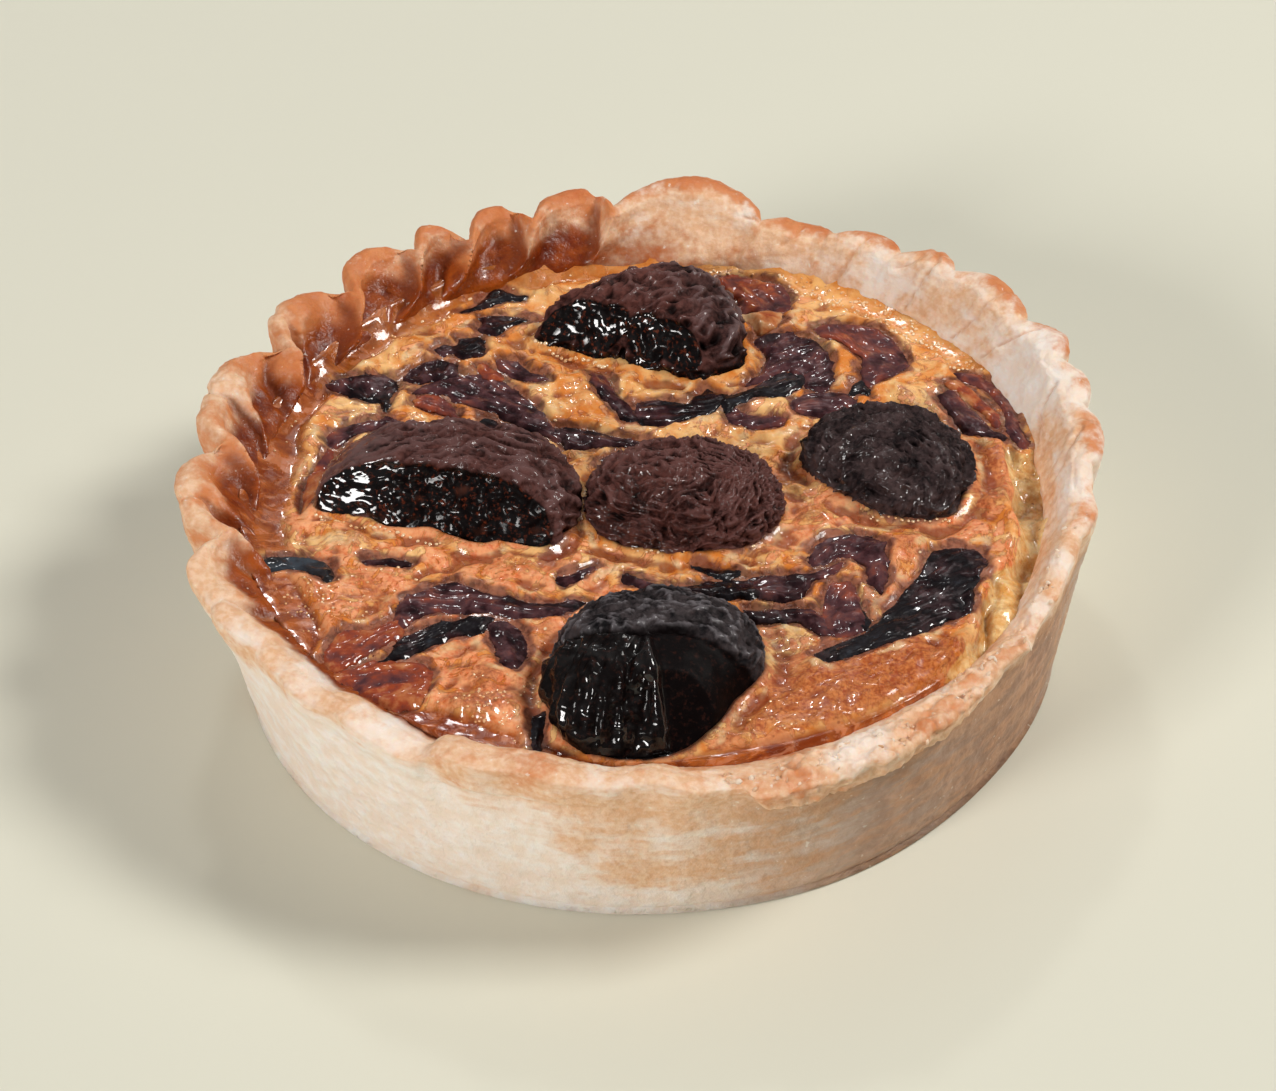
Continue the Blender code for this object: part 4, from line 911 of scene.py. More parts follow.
def mushroom_plan(shape):
    """The piece's middle, and its reach from there as (angle, reach) pairs."""
    outline = np.array(shape["outline"], float)
    middle = outline.mean(0)
    reach, angle = polar(*(outline - middle).T)
    return middle, tuple(sorted(zip(angle.tolist(), reach.tolist())))


def clear_of_mushroom(shape, x, y):
    """How far outside a piece's outline these places are; negative inside."""
    middle, reaches = mushroom_plan(shape)
    away, angle = polar(x - middle[0], y - middle[1])
    return away - around(reaches, angle)


def evened(grid, span):
    """A grid averaged over squares of this many cells, twice."""
    for axis in (0, 1, 0, 1):
        first, last = (np.take(grid, [end] * count, axis) for end, count in ((0, span // 2 + 1), (-1, span // 2)))
        total = np.cumsum(np.concatenate([first, grid, last], axis), axis)
        after, before = np.arange(span, total.shape[axis]), np.arange(total.shape[axis] - span)
        grid = (np.take(total, after, axis) - np.take(total, before, axis)) / span
    return grid


class Filling:
    """The top of the custard on a fine square grid: its height and what marks it."""

    def __init__(self):
        self.axis = np.arange(-GRID_HALF, GRID_HALF + 0.01, GRID_STEP)
        x, y = np.meshgrid(self.axis, self.axis)
        radius, angle = polar(x, y)
        angle = angle % 360
        turn, flat = np.radians(angle), at(x, y)
        bent = flat + 1.7 * at(grain(flat / 5.5, 401), grain(flat / 5.5, 402))
        rough = 0.8 * grain(flat / 2.4, 403) + 0.4 * grain(flat / 1.1, 404)
        level = custard_height(x, y)

        mushroom = np.min([clear_of_mushroom(s, x, y) for s in MUSHROOMS.values()], axis=0)
        petal, film = np.full(x.shape, 9.0), np.zeros(x.shape)
        for *_, tenths in (*PETALS.values(), *SHREDS.values()):
            part, away = self.clear_near(tenths, x, y)
            petal[part] = np.minimum(petal[part], away)
        for dark, tenths in FILMS:
            part, away = self.clear_near(tenths, x, y)
            film[part] = np.maximum(film[part], dark * blend(1.2, -0.9, away + 0.7 * grain(flat[part] / 1.7, 409)))
        topping = np.minimum(mushroom, petal)
        open_skin = blend(0.0, 2.5, topping)

        # where the skin has torn from the wall on the right and curds show
        from_right = (angle + 180) % 360 - 180
        torn_span = blend(-52, -46, from_right) * (1 - blend(5, 12, from_right))
        tear = around(TEAR, angle) + 0.7 * grain(at(np.cos(turn) * 12, np.sin(turn) * 12), 71)
        torn = torn_span * blend(tear - 0.2, tear + 0.5, radius) * blend(0.2, 1.6, petal)
        # fat lies against the wall, widest at the left and back
        fat_width = around(FAT_WIDTH, angle)
        fat_edge = WALL_FOOT + 1.3 * blend(1.5, 0.3, fat_width) - fat_width
        fat_edge = fat_edge + np.minimum(1.5, fat_width) * layered(flat, 6.0, 73, 3)
        fat = blend(-0.5, 0.9, radius - fat_edge) * (1 - torn) * blend(0.2, 1.4, petal) * blend(0.0, 1.2, mushroom)

        # the skin: swells, pebbles and folds, and ripples on the glossy patches
        swell, pebble = layered(bent + 40, 6.0, 75, 3), ridges(bent, 2.4, 77, 3)
        fold = ridges(bent * [0.5, 1.0, 1.0] + 20, 3.6, 78, 3)
        calm = 1 - 0.85 * fat
        z = level + calm * (0.3 + 0.7 * open_skin) * (1.35 * swell + 0.24 * pebble + 0.60 * fold)
        z += 0.06 * layered(flat, 0.9, 79, 2) * calm
        gloss = np.max([hump(np.hypot(x - mx, y - my), 1.4 * spread) for mx, my, spread, _ in BEAD_PATCHES], axis=0)
        z += gloss * open_skin * (0.16 * layered(flat, 1.25, 91, 2) + 0.12 * layered(flat, 2.6, 93, 2))
        # custard climbs against the toppings, with a low moat outside that
        z += 0.7 * hump(mushroom - 0.2, 0.9) - 0.5 * hump(mushroom - 2.2, 1.2)
        z += (0.30 + 0.5 * np.maximum(rough, 0)) * hump(petal - 0.9, 0.7) * blend(-0.6, 0.6, mushroom)
        z -= 0.30 * hump(petal - 0.05, 0.35)
        # the front mushroom leans on the rim
        z -= 1.5 * hump(x + 1, 10) * hump(y + 51.2, 2.4)
        # the skin curls up at its torn edge, and drops to the curds
        z += torn_span * 0.7 * hump(radius - tear + 0.9, 1.1)
        near = pitted(flat * [1, 0.62, 1], 5.2, 81)
        lumps = 3.4 * (0.62 - near) + 0.4 * layered(flat, 1.8, 83, 3)
        z += torn * (-1.5 - 0.9 * hump(radius - tear - 1.0, 0.8) + np.maximum(lumps, -1.6))
        # fat lies nearly level and creeps up the wall
        creep = np.clip((radius - fat_edge) / np.maximum(fat_width, 2.0), 0, 1.3)
        ripple = layered(flat, 2.8, 86, 3)
        z = z * calm + 0.85 * fat * (CUSTARD_LEVEL - 0.2 + 0.13 * ripple)
        z += fat * (around(FAT_CLIMB, angle) * creep**2 + 0.10 * ripple)
        # under the toppings the custard is lower, so that they lie in it
        self.custard = z - 1.2 * blend(0.2, 1.6, -mushroom) - 0.75 * blend(0.25, 1.1, -petal)
        self.top, self.calm, self.open_skin = z, level + 0.6 * swell, open_skin

        brown = 0.08 + 0.34 * (level - CUSTARD_LEVEL) + 0.25 * blend(0.1, 0.9, fold) + 0.40 * swell
        # how far each place lies below its surroundings, where painted shade goes
        hollow = (evened(z, 15) - z) / 0.45
        drift = layered(flat, 3.0, 85, 3)
        dark_side = around(DARK_SIDE, polar(x - 6, y + 4)[1])
        halo = np.exp(-np.maximum(mushroom, 0) / (0.8 + 0.5 * drift)) * dark_side
        stain = np.exp(-np.maximum(petal + 1.1 * rough - 0.15, 0) / 0.95)
        # painted-on browning, partly painted shade, and pale patches
        rust, pale = 0 * x, torn * blend(0.70, 1.0, near)
        for mx, my, long_half, wide_half, way, rusty, creamy in BROWNING_AND_SHADE:
            run, side = turned(x - mx, y - my, way)
            spot = np.exp(-1.2 * ((run / long_half) ** 2 + (side / wide_half) ** 2)) * (1 - fat)
            rust, pale = np.maximum(rust, rusty * spot), np.maximum(pale, creamy * spot * (1 - torn))
        self.marks = {
            "brown": np.clip(brown, 0, 1) * open_skin * (1 - fat),
            "hollow": np.clip(hollow, 0, 1) * blend(-0.3, 0.8, topping),
            "halo": np.clip(halo, 0, 1) * blend(-9, 0.3, mushroom),
            "stain": np.clip(np.maximum(stain, film), 0, 1),
            "cream": np.clip(hump(topping + rough - 1.5, 0.8) * (0.5 + 1.5 * drift), 0, 1) * (1 - fat),
            "fat": fat, "burnt": fat * around(BURNT, angle), "curd": torn,
            "salmon": around(SALMON, angle) * blend(6, 26, radius), "rust": rust, "gloss": gloss, "pale": pale,
        }

    def clear_near(self, tenths, x, y):
        """The part of the grid within 5 mm of an outline, and how far outside the outline it is."""
        outline = corners(tenths)
        first, last = (np.searchsorted(self.axis, v) for v in (outline.min(0) - 5, outline.max(0) + 5))
        part = slice(first[1], last[1]), slice(first[0], last[0])
        return part, clear_of_outline(outline, x[part], y[part])

    def read(self, grid, x, y):
        """A grid's value at these places."""
        i, j = (np.clip((v - self.axis[0]) / GRID_STEP, 0, len(self.axis) - 1.001) for v in (x, y))
        a, b = i.astype(int), j.astype(int)
        u, v = i - a, j - b
        return ((grid[b, a] * (1 - u) + grid[b, a + 1] * u) * (1 - v)
                + (grid[b + 1, a] * (1 - u) + grid[b + 1, a + 1] * u) * v)


def make_custard(filling):
    """The custard: its top, and sides that go down inside the case."""
    turn = np.arange(CUSTARD_COLUMNS)[None, :] * 2 * math.pi / CUSTARD_COLUMNS
    radius = (np.linspace(0.05, 1, CUSTARD_ROWS) ** 0.9)[:, None] * (52.9 + 0 * turn)
    x, y = radius * np.cos(turn), radius * np.sin(turn)
    rings = at(x, y, filling.read(filling.custard, x, y))
    marks = {name: filling.read(grid, x, y) for name, grid in filling.marks.items()}
    for r, low in ((52.7, 20.0), (50.4, 12.0), (49.6, 8.2), (46.2, 4.5)):
        rings = np.vstack([rings, at(r * np.cos(turn), r * np.sin(turn), low)])
        marks = {name: np.vstack([values, values[-1:]]) for name, values in marks.items()}
    middle = float(filling.read(filling.custard, np.zeros(1), np.zeros(1))[0])
    return skin("custard_filling", rings, (0, 0, middle), (0, 0, 4.5), marks, custard_finish())


# ---- mushrooms ----
def mushroom_rings(shape):
    """A cut cap from its top to its sunk foot, about its own middle."""
    middle, reaches = mushroom_plan(shape)
    lean, knife = np.array(shape["lean"]), np.array(shape["knife"])
    knife = knife / np.linalg.norm(knife)
    fall = np.concatenate([np.linspace(0.006, 0.5, MUSHROOM_ROWS), np.linspace(0.515, 0.93, SUNK_ROWS)]) * math.pi
    turn = np.arange(MUSHROOM_COLUMNS) * 2 * math.pi / MUSHROOM_COLUMNS
    fall, turn = np.meshgrid(fall, turn, indexing="ij")
    flat, rise = np.sin(fall), np.cos(fall)
    reach = around(reaches, np.degrees(turn)) * np.where(rise > 0, flat**0.8, flat**0.5)
    up = np.maximum(rise, 0)
    lift = np.where(rise > 0, shape["height"] * up**0.9, -MUSHROOM_DEPTH * np.minimum(1, -1.15 * rise))
    place = at(reach * np.cos(turn) + lean[0] * up, reach * np.sin(turn) + lean[1] * up, lift)
    over = place @ knife - shape["knife_at"]
    eased = 0.5 * (over + np.sqrt(over**2 + 0.05)) * (rise > 0)
    place = place - knife * (eased * 0.92)[..., None]
    return place, middle, blend(-0.35, 0.25, over) * (rise > 0), rise


def make_mushroom(name, shape, finish, seed):
    """A roast mushroom: its skin's ridges and pits, its cut face, the painted shade in its grooves, the painted sheen
    on its crests, and what is blue and wet.
    """
    place, middle, cut, rise = mushroom_rings(shape)
    level = custard_height(*middle)
    normal = facing(place)
    if np.sum(normal * place) < 0:
        normal = -normal
    skin_side = 1 - cut
    warp = layered(place, 5.0, seed, 2)[..., None]
    x, y, z = (place[..., i] for i in range(3))
    flesh, blue, worn = cut, 0 * cut, 0.12
    swell = layered(place, 4.5, seed + 3, 2)
    cluster = blend(0.0, 0.45, layered(place, 2.6, seed + 10, 2))
    if name == "mushroom_back":
        bent = at(0.8 * x + 0.6 * y, 0.8 * y - 0.6 * x, z) + 1.1 * warp
        ridge = ridges(bent * [0.5, 1.0, 1.0], 2.3, seed + 1)
        dent = blend(0.5, 0.1, pitted(bent * [0.75, 1.0, 1.0], 2.0, seed))
        groove = np.maximum(dent, 0.8 * blend(0.1, -0.4, ridge)) * skin_side
        crest = blend(0.25, 0.9, ridge) * (1 - dent)
        push = skin_side * (0.85 * ridge - 0.7 * dent + 0.3 * swell) + cut * 0.35 * layered(place, 2.4, seed + 5, 2)
        low = blend(3.4, 0.8, z) * blend(3, -3, y)
        flesh = np.maximum(cut, 0.7 * low)
        wet = np.maximum(cut, low) * (0.10 + 0.9 * cluster * blend(6, -2, x)) + 0.45 * crest
        blue = 0.35 * blend(1, 9, x + 0.3 * y)
    elif name == "mushroom_left":
        ridge = ridges((place + warp * [0.4, 1.6, 0.6]) * [0.26, 1.0, 1.0], 2.2, seed + 1)
        cross = ridges(place * [0.7, 1, 1], 1.5, seed + 2, 3)
        left = blend(-6, -12, x)
        groove = np.maximum(blend(0.1, -0.45, ridge), 0.8 * blend(0.0, -0.5, cross)) * skin_side * (1 - 0.75 * left)
        crest = np.maximum(blend(0.2, 0.9, ridge), 0.6 * blend(0.3, 0.8, cross)) * (1 - 0.4 * left) + 0.35 * left
        push = skin_side * (0.90 * ridge * (1 - 0.7 * left) + 0.30 * cross * (1 - 0.6 * left) + 0.3 * swell)
        push += cut * (0.12 * (0.5 - pitted(place, 1.7, seed)) + 0.34 * layered(place, 1.9, seed + 4, 2))
        wet = np.maximum(cut * (0.06 + 0.75 * cluster * blend(6, -4, x)), 0.6 * left + 0.4 * crest)
        blue, worn = blue + 0.10, 0.40
    elif name == "mushroom_middle":
        away, about = polar(x - RIB_HUB[0] + middle[0], y - RIB_HUB[1] + middle[1])
        ridge = ridges(at(np.radians(about) * 7 + 2.2 * warp[..., 0], away * 0.3, z * 0.9), 1.0, seed + 1)
        cross = ridges(place, 1.5, seed + 2)
        groove = np.maximum(blend(0.1, -0.45, ridge), 0.7 * blend(-0.1, -0.6, cross))
        crest = np.maximum(blend(0.2, 0.8, ridge), 0.5 * blend(0.3, 0.8, cross))
        red = blend(2.5, -6.0, x * 0.5 + y)
        push = 0.80 * ridge + 0.25 * cross + 0.3 * swell
        flesh = np.maximum(0.4 * cut, 0.35 * red * blend(9, -2, x))
        wet = 0.35 * crest + 0.85 * red * cluster * blend(6, -2, x)
        worn = 0.60
    elif name == "mushroom_right":
        arcs = ridges(at(np.hypot(x + 3, y + 9), 0.3 * x, z) + 0.8 * warp, 1.7, seed + 1)
        cross = ridges(place, 1.8, seed + 2)
        groove = np.maximum(0.9 * blend(0.1, -0.45, arcs), 0.8 * blend(-0.1, -0.6, cross))
        crest = blend(0.4, 0.95, arcs) * 0.35 + 0.12 * blend(0.4, 0.9, cross)
        push = 0.72 * arcs + 0.40 * cross + 0.35 * swell
        flesh, blue = 0.3 * cut, blue + 0.75
        wet = 0.45 * crest + 0.7 * cluster * blend(1, -6, x + y) + 0.3 * blend(0.4, 0.9, cross)
    else:
        crease_at = 0.2 - 0.10 * x + 0.5 * np.sin(x / 2.5)
        front = blend(crease_at + 0.8, crease_at - 1.2, y)
        left = blend(1.5, -3.0, x + 0.10 * y)
        ridge = ridges(place * [0.45, 1.0, 1.0] + 1.1 * warp, 2.3, seed + 1, 3)
        cross = ridges(place, 1.4, seed + 2)
        fold = ridges(at(x / 3.2 - 0.10 * y + 0.15 * warp[..., 0], y / 13), 1.0, seed + 6)
        streak = hump(x - 0.2 + 0.16 * (y + 6), 0.75) * blend(-0.5, -3, y)
        crease = hump(y - crease_at, 0.55) * blend(8, 3, x)
        groove = np.maximum(blend(0.1, -0.45, ridge), 0.6 * blend(-0.1, -0.6, cross)) * (1 - front)
        groove = np.maximum(np.maximum(groove, crease), front * np.maximum(left * blend(0.1, -0.5, fold), 0.55))
        crest = (1 - front) * (0.70 * blend(0.35, 0.95, ridge) + 0.25 * blend(0.4, 0.9, cross))
        push = (1 - front) * (0.60 * ridge + 0.28 * cross) - 0.9 * crease + 0.35 * swell
        push += front * (left * (1.05 * fold + 0.30 * layered(place, 1.5, seed + 11, 2)) + 0.7 * streak)
        flesh, blue = front * (1 - 0.1 * left), blue + 0.95
        wet = front * (0.04 + left * (0.25 + 0.7 * cluster) + 0.95 * streak)
        wet = wet + 0.15 * blend(-6, -11, x) + 0.45 * crest
    push = 1.25 * push + 0.05 * ridges(place, 1.0, seed + 8) * (1 - 0.7 * flesh)
    # the relief fades towards the foot, and below the custard
    push = push * blend(-0.25, 0.1, rise) * (0.45 + 0.55 * blend(-0.05, 0.30, rise))
    place = place + normal * push[..., None]
    rings = place + [*middle, level]
    # groove is painted shade in the grooves and pits, and crest is painted sheen on the ridges
    marks = {"cut": flesh, "groove": np.clip(groove, 0, 1), "crest": np.clip(crest * (1 - flesh), 0, 1),
             "blue": np.clip(blue, 0, 1), "worn": worn * blend(0.3, 0.8, layered(place, 3.0, seed + 9, 3)),
             "wet": np.clip(wet, 0, 1)}
    top, foot = rings[0].mean(0) + [0, 0, 0.03], (*middle, level - MUSHROOM_DEPTH)
    return skin("roast_" + name, rings, top, foot, marks, finish)


# ---- onions ----
def ragged_loop(outline, wrinkled, seed):
    """A smooth closed curve through an outline's corners, with a torn edge."""
    count = len(outline)
    wanted = np.linspace(3, 3 + count, 40 * count + 1)[:-1] / (count + 5)
    loop = along(np.vstack([outline[-3:], outline, outline[:3]]), wanted)
    length = np.concatenate([[0], np.cumsum(np.linalg.norm(np.roll(loop, -1, axis=0) - loop, axis=1))])
    wanted = np.linspace(0, length[-1], max(24, int(length[-1] / PETAL_EDGE_STEP)) + 1)[:-1]
    loop = np.stack([np.interp(wanted, length, [*side, side[0]]) for side in loop.T], -1)
    ahead = np.roll(loop, -1, axis=0) - np.roll(loop, 1, axis=0)
    outwards = np.stack([ahead[:, 1], -ahead[:, 0]], -1) / np.linalg.norm(ahead, axis=1)[:, None]
    place = at(*loop.T)
    tear = (0.3 + 0.35 * wrinkled) * grain(place / 1.6, seed) + 0.28 * wrinkled * grain(place / 0.7, seed + 1)
    return loop + outwards * tear[:, None]


def petal_plan(outline, wrinkled, seed):
    """A petal's points from above, its triangles, and how far inside its edge each point is."""
    loop = ragged_loop(outline, wrinkled, seed)
    low, high = loop.min(0), loop.max(0)
    gx, gy = np.meshgrid(np.arange(low[0], high[0], PETAL_STEP_X), np.arange(low[1], high[1], PETAL_STEP_Y))
    gx = gx + PETAL_STEP_X / 2 * (np.arange(len(gx)) % 2)[:, None]
    inner = np.stack([gx.ravel(), gy.ravel()], -1)
    inner = inner[clear_of_outline(loop, *inner.T) < -0.16]
    rim = [(i, (i + 1) % len(loop)) for i in range(len(loop))]
    found = delaunay_2d_cdt([Vector(p) for p in np.vstack([loop, inner])], rim, [], 1, 1e-5)
    flat, faces = np.array([tuple(v) for v in found[0]]), np.array([tuple(f) for f in found[2]])
    a, b, c = flat[faces].transpose(1, 0, 2)
    faces = np.where((np.cross(b - a, c - a) > 0)[:, None], faces, faces[:, ::-1])
    return flat, faces, np.maximum(0, -clear_of_outline(loop, *flat.T))


def make_petal(name, spec, filling, finish, seed):
    """A thin wrinkled petal that lies in the custard, its edge just under the skin."""
    first_tone, last_tone, wrinkled, lift, turn, tenths = spec
    flat, faces, depth = petal_plan(corners(tenths), wrinkled, seed)
    x, y = flat.T
    run, side = turned(x, y, turn)
    share = (run - run.min()) / np.ptp(run)
    bend = 0.8 * grain(at(x / 4, y / 4), seed + 2)
    vein = ridges(at(run / 9, (side + bend) / 2.0, seed), 1.0, seed + 3)
    ruck = layered(at(run / 2.6, side / 1.9), 1.0, seed + 6, 3)
    crumple = ridges(at(run, side), 1.1, seed + 9)
    ground, calm = filling.read(filling.top, x, y), filling.read(filling.calm, x, y)
    leaning = np.clip((side - side.mean()) / (np.ptp(side) * 0.5), -1, 1) * (1 if seed % 2 else -1)
    rise = 0.20 * lift * leaning + (0.16 + 0.30 * wrinkled) * vein + wrinkled * (0.40 * ruck + 0.04 * crumple)
    rise = blend(0.1, 1.3, depth) * rise + (0.13 + 0.14 * leaning) * blend(0.0, 0.35, depth)
    rise += 0.14 * lift * (1 - hump(depth, 2.1))
    rise += 0.5 * wrinkled * hump(depth - 0.6, 0.4) * np.maximum(0, grain(at(x, y) / 2.6, seed + 12))
    top = ground - 0.10 + np.maximum(rise, 0.02) + 0.85 * blend(0.3, 1.6, depth) * (calm - ground)

    # the underside is a second layer of points that shares the edge's
    edges, used = np.unique(np.sort(np.vstack([faces[:, [0, 1]], faces[:, [1, 2]], faces[:, [2, 0]]])),
                            axis=0, return_counts=True)
    inside = np.setdiff1d(np.arange(len(flat)), edges[used == 1])
    under = np.arange(len(flat))
    under[inside] = len(flat) + np.arange(len(inside))
    below = at(x, y, np.minimum(top, ground) - PETAL_THICKNESS)[inside]
    tone = first_tone + (last_tone - first_tone) * blend(0.15, 0.85, share)
    marks = {"tone": tone, "edge": 1 - blend(0.0, 0.55, depth), "vein": vein}
    marks = {mark: np.concatenate([values, values[inside]]) for mark, values in marks.items()}
    faces = np.vstack([faces, under[faces[:, ::-1]]]).tolist()
    return finished("caramelised_" + name, np.vstack([at(x, y, top), below]), faces, marks, finish)


# ---- beads of fat and crumbs ----
def bead_finish():
    """A clear, round, very wet bead."""
    f = Finish("fat_bead", specular_ior_level=0.6, coat_roughness=0.04, coat_ior=1.6, coat_weight=1.0)
    return f.wear(base_color=f.tint(f.noise(6, 2), 0.4, 0.6, (0.82, 0.45, 0.20), (0.92, 0.66, 0.40)), roughness=0.12)


def crumb_finish():
    """Dry crust."""
    f = Finish("crust_crumb", specular_ior_level=0.3)
    colour = f.tint(f.noise(3, 3, 0.6), 0.40, 0.62, (0.84, 0.70, 0.56), (0.70, 0.42, 0.24))
    return f.wear(base_color=colour, roughness=0.7, normal=f.bump((f.noise(0.4, 2), 0.08, 0.6)))


def scattered(name, places, sizes, turns, segments, finish):
    """One mesh of small rounded bits at these places, repeated by Geometry Nodes."""
    mesh = bpy.data.meshes.new(name + "_places")
    mesh.from_pydata((places * MM).tolist(), [], [])
    for mark, values in (("size", sizes * MM), ("turn", turns)):
        held = mesh.attributes.new(mark, "FLOAT_VECTOR", "POINT").data
        held.foreach_set("vector", values.astype(np.float32).ravel())
    carrier = linked(name + "_places", mesh)
    group = bpy.data.node_groups.new(name + "_scatter", "GeometryNodeTree")
    group.interface.new_socket("Places", in_out="INPUT", socket_type="NodeSocketGeometry")
    count = group.interface.new_socket("Segments", in_out="INPUT", socket_type="NodeSocketInt")
    group.interface.new_socket("Bits", in_out="OUTPUT", socket_type="NodeSocketGeometry")
    start, end, ball, placed, real, dressed = (group.nodes.new(kind) for kind in (
        "NodeGroupInput", "NodeGroupOutput", "GeometryNodeMeshUVSphere", "GeometryNodeInstanceOnPoints",
        "GeometryNodeRealizeInstances", "GeometryNodeSetMaterial"))
    ball.inputs["Rings"].default_value, ball.inputs["Radius"].default_value = 5, 1.0
    dressed.inputs["Material"].default_value = finish
    for (giver, output), (taker, socket) in (
            ((start, "Segments"), (ball, "Segments")), ((start, "Places"), (placed, "Points")),
            ((ball, "Mesh"), (placed, "Instance")), ((placed, "Instances"), (real, "Geometry")),
            ((real, "Geometry"), (dressed, "Geometry")), ((dressed, "Geometry"), (end, "Bits"))):
        group.links.new(giver.outputs[output], taker.inputs[socket])
    for mark, socket in (("size", "Scale"), ("turn", "Rotation")):
        reader = group.nodes.new("GeometryNodeInputNamedAttribute")
        reader.data_type = "FLOAT_VECTOR"
        reader.inputs["Name"].default_value = mark
        group.links.new(reader.outputs["Attribute"], placed.inputs[socket])
    modifier = carrier.modifiers.new(name, "NODES")
    modifier.node_group = group
    modifier[count.identifier] = segments
    made = bpy.data.meshes.new_from_object(carrier.evaluated_get(bpy.context.evaluated_depsgraph_get()))
    bpy.data.objects.remove(carrier)
    made.name = name
    made.shade_smooth()
    return linked(name, made)


def make_beads(filling):
    """Beads of fat: along the wall, at the mushrooms' feet, and strewn over the skin."""
    draw = np.random.default_rng(BEAD_SEED)
    spots = []
    for first, last, near, far, count in BEAD_BANDS:
        turn, reach = np.radians(draw.uniform(first, last, count)), draw.uniform(near, far, count)
        spots.append(at(reach * np.cos(turn), reach * np.sin(turn), draw.uniform(0.10, 0.27, count)))
    for line, count, size in BEAD_LINES:
        place = along(line, np.linspace(0, 1, count)) + draw.normal(0, 0.12, (count, 2))
        spots.append(np.column_stack([place, draw.uniform(0.7, 1.2, count) * size]))
    for mx, my, spread, count in BEAD_PATCHES:
        spots.append(np.column_stack([draw.normal((mx, my), spread, (count, 2)), draw.uniform(0.09, 0.20, count)]))
    x, y, size = np.concatenate(spots).T
    keep = (np.hypot(x, y) < WALL_FOOT) & (filling.read(filling.open_skin, x, y) > 0.05)
    x, y, size = x[keep], y[keep], size[keep]
    places = at(x, y, filling.read(filling.custard, x, y) + 0.15 * size)
    sizes = at(size * draw.uniform(0.9, 1.6, len(size)), size, size * 0.7)
    return scattered("fat_beads", places, sizes, at(0 * x, 0, draw.uniform(0, 3, len(size))), 8, bead_finish())


def make_crumbs(rings):
    """Crumbs and flakes of crust on the front of the rim and its lap."""
    draw = np.random.default_rng(CRUMB_SEED)
    rows, columns = rings.shape[:2]
    column = (draw.uniform(278, 345, 70) / 360 * columns).astype(int) % columns
    crest = rings[:, :, 2].argmax(axis=0)[column] + draw.integers(-9, 6, len(column))
    place = rings[np.clip(crest, 0, rows - 1), column]
    size = draw.uniform(0.14, 0.42, len(column))
    sizes = at(size * draw.uniform(1.0, 1.9, len(size)), size, size * draw.uniform(0.4, 0.8, len(size)))
    return scattered("crust_crumbs", place, sizes, draw.uniform(-0.6, 3, (len(size), 3)), 6, crumb_finish())


# ---- floor, light and camera ----
def make_floor():
    """The plain pale surface that the quiche stands on."""
    mesh, half = bpy.data.meshes.new("floor"), FLOOR_HALF
    mesh.from_pydata([(-half, -half, 0), (half, -half, 0), (half, half, 0), (-half, half, 0)], [], [(0, 1, 2, 3)])
    mesh.materials.append(Finish("plain_pale_paper").wear(base_color=FLOOR_COLOUR, roughness=0.9))
    linked("floor", mesh)


def make_light(name, turn, rise, distance, size, power, colour):
    """A square soft light that faces the middle of the quiche's base."""
    lamp = bpy.data.lights.new(name, "AREA")
    lamp.shape, lamp.size, lamp.energy, lamp.color = "SQUARE", size, power, colour
    turn, rise = math.radians(turn), math.radians(rise)
    way = Vector((math.cos(turn) * math.cos(rise), math.sin(turn) * math.cos(rise), math.sin(rise)))
    facing_in = way.to_track_quat("Z", "Y").to_matrix().to_4x4()
    linked(name, lamp).matrix_world = Matrix.Translation(way * distance) @ facing_in


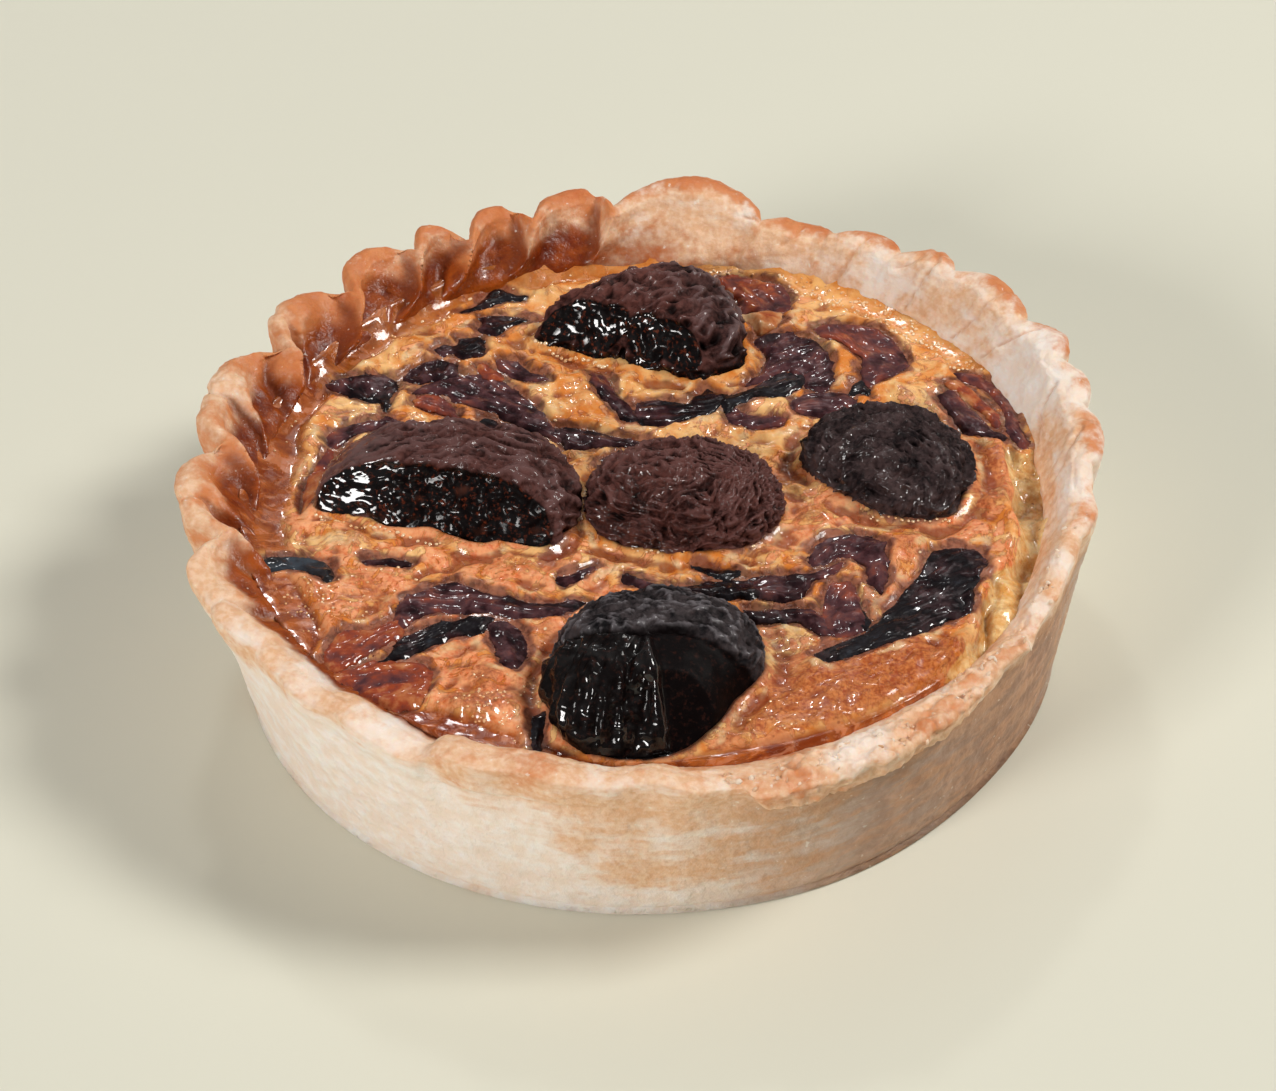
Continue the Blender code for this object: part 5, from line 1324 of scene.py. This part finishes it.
def make_surroundings():
    """A dim room that is brighter above and behind than in front."""
    world = bpy.data.worlds.new("surroundings")
    bpy.context.scene.world = world
    world.use_nodes = True
    nodes, links = world.node_tree.nodes, world.node_tree.links
    way = nodes.new("ShaderNodeTexCoord").outputs["Generated"]
    lean = nodes.new("ShaderNodeVectorMath")
    lean.operation = "DOT_PRODUCT"
    lean.inputs[1].default_value = (0.0, 0.55, 0.83)
    links.new(way, lean.inputs[0])
    glow = nodes.new("ShaderNodeMapRange")
    for socket, value in (("From Min", -0.1), ("From Max", 0.95), ("To Min", 0.05), ("To Max", 0.25)):
        glow.inputs[socket].default_value = value
    links.new(lean.outputs["Value"], glow.inputs["Value"])
    links.new(glow.outputs["Result"], nodes["Background"].inputs["Strength"])
    nodes["Background"].inputs["Color"].default_value = (1.0, 0.98, 0.95, 1)


def make_camera():
    """The camera, as it was fitted to the photograph."""
    back = Vector((0, -math.cos(CAMERA_RISE), math.sin(CAMERA_RISE)))
    right, up = Vector((1, 0, 0)), Vector((0, math.sin(CAMERA_RISE), math.cos(CAMERA_RISE)))
    c, s = math.cos(CAMERA_ROLL), math.sin(CAMERA_ROLL)
    place = Matrix((right * c - up * s, right * s + up * c, back)).transposed().to_4x4()
    place.translation = back * CAMERA_AWAY
    lens = bpy.data.cameras.new("camera")
    lens.sensor_width, lens.lens, lens.clip_start = SENSOR_WIDTH, SENSOR_WIDTH * FOCAL_PIXELS / PHOTO_WIDTH, 0.01
    lens.shift_x, lens.shift_y = -SHIFT_X / PHOTO_WIDTH, SHIFT_Y / PHOTO_WIDTH
    camera = linked("camera", lens)
    camera.matrix_world = place
    bpy.context.scene.camera = camera


def main():
    """All the pieces, what each stands for in the part, and the scene round them."""
    filling = Filling()
    rings, marks = case_rings()
    case = skin("baked_case", rings, (0, 0, 4.0), (0, 0, 0), marks, pastry_finish())
    pieces = [(case, "pastry_case", "pastry"), (make_custard(filling), "custard", "custard"),
              (make_beads(filling), None, "custard"), (make_crumbs(rings), None, "pastry")]
    skin_finish, petal_finish = mushroom_finish(), onion_finish()
    for i, (name, shape) in enumerate(MUSHROOMS.items()):
        made = make_mushroom(name, shape, skin_finish, MUSHROOM_SEED + SEED_STEP * i)
        pieces.append((made, name, "mushroom"))
    for petals, first_seed, stand_for in ((PETALS, PETAL_SEED, True), (SHREDS, SHRED_SEED, False)):
        for i, (name, spec) in enumerate(petals.items()):
            made = make_petal(name, spec, filling, petal_finish, first_seed + SEED_STEP * i)
            pieces.append((made, name if stand_for else None, "onion"))
    for piece, node, slot in pieces:
        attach(piece, "root")
        if node:
            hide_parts(node)

    make_floor()
    for name, lamp in LAMPS.items():
        make_light(name, *lamp)
    make_surroundings()
    bpy.context.scene.view_settings.view_transform = "Standard"
    make_camera()


main()
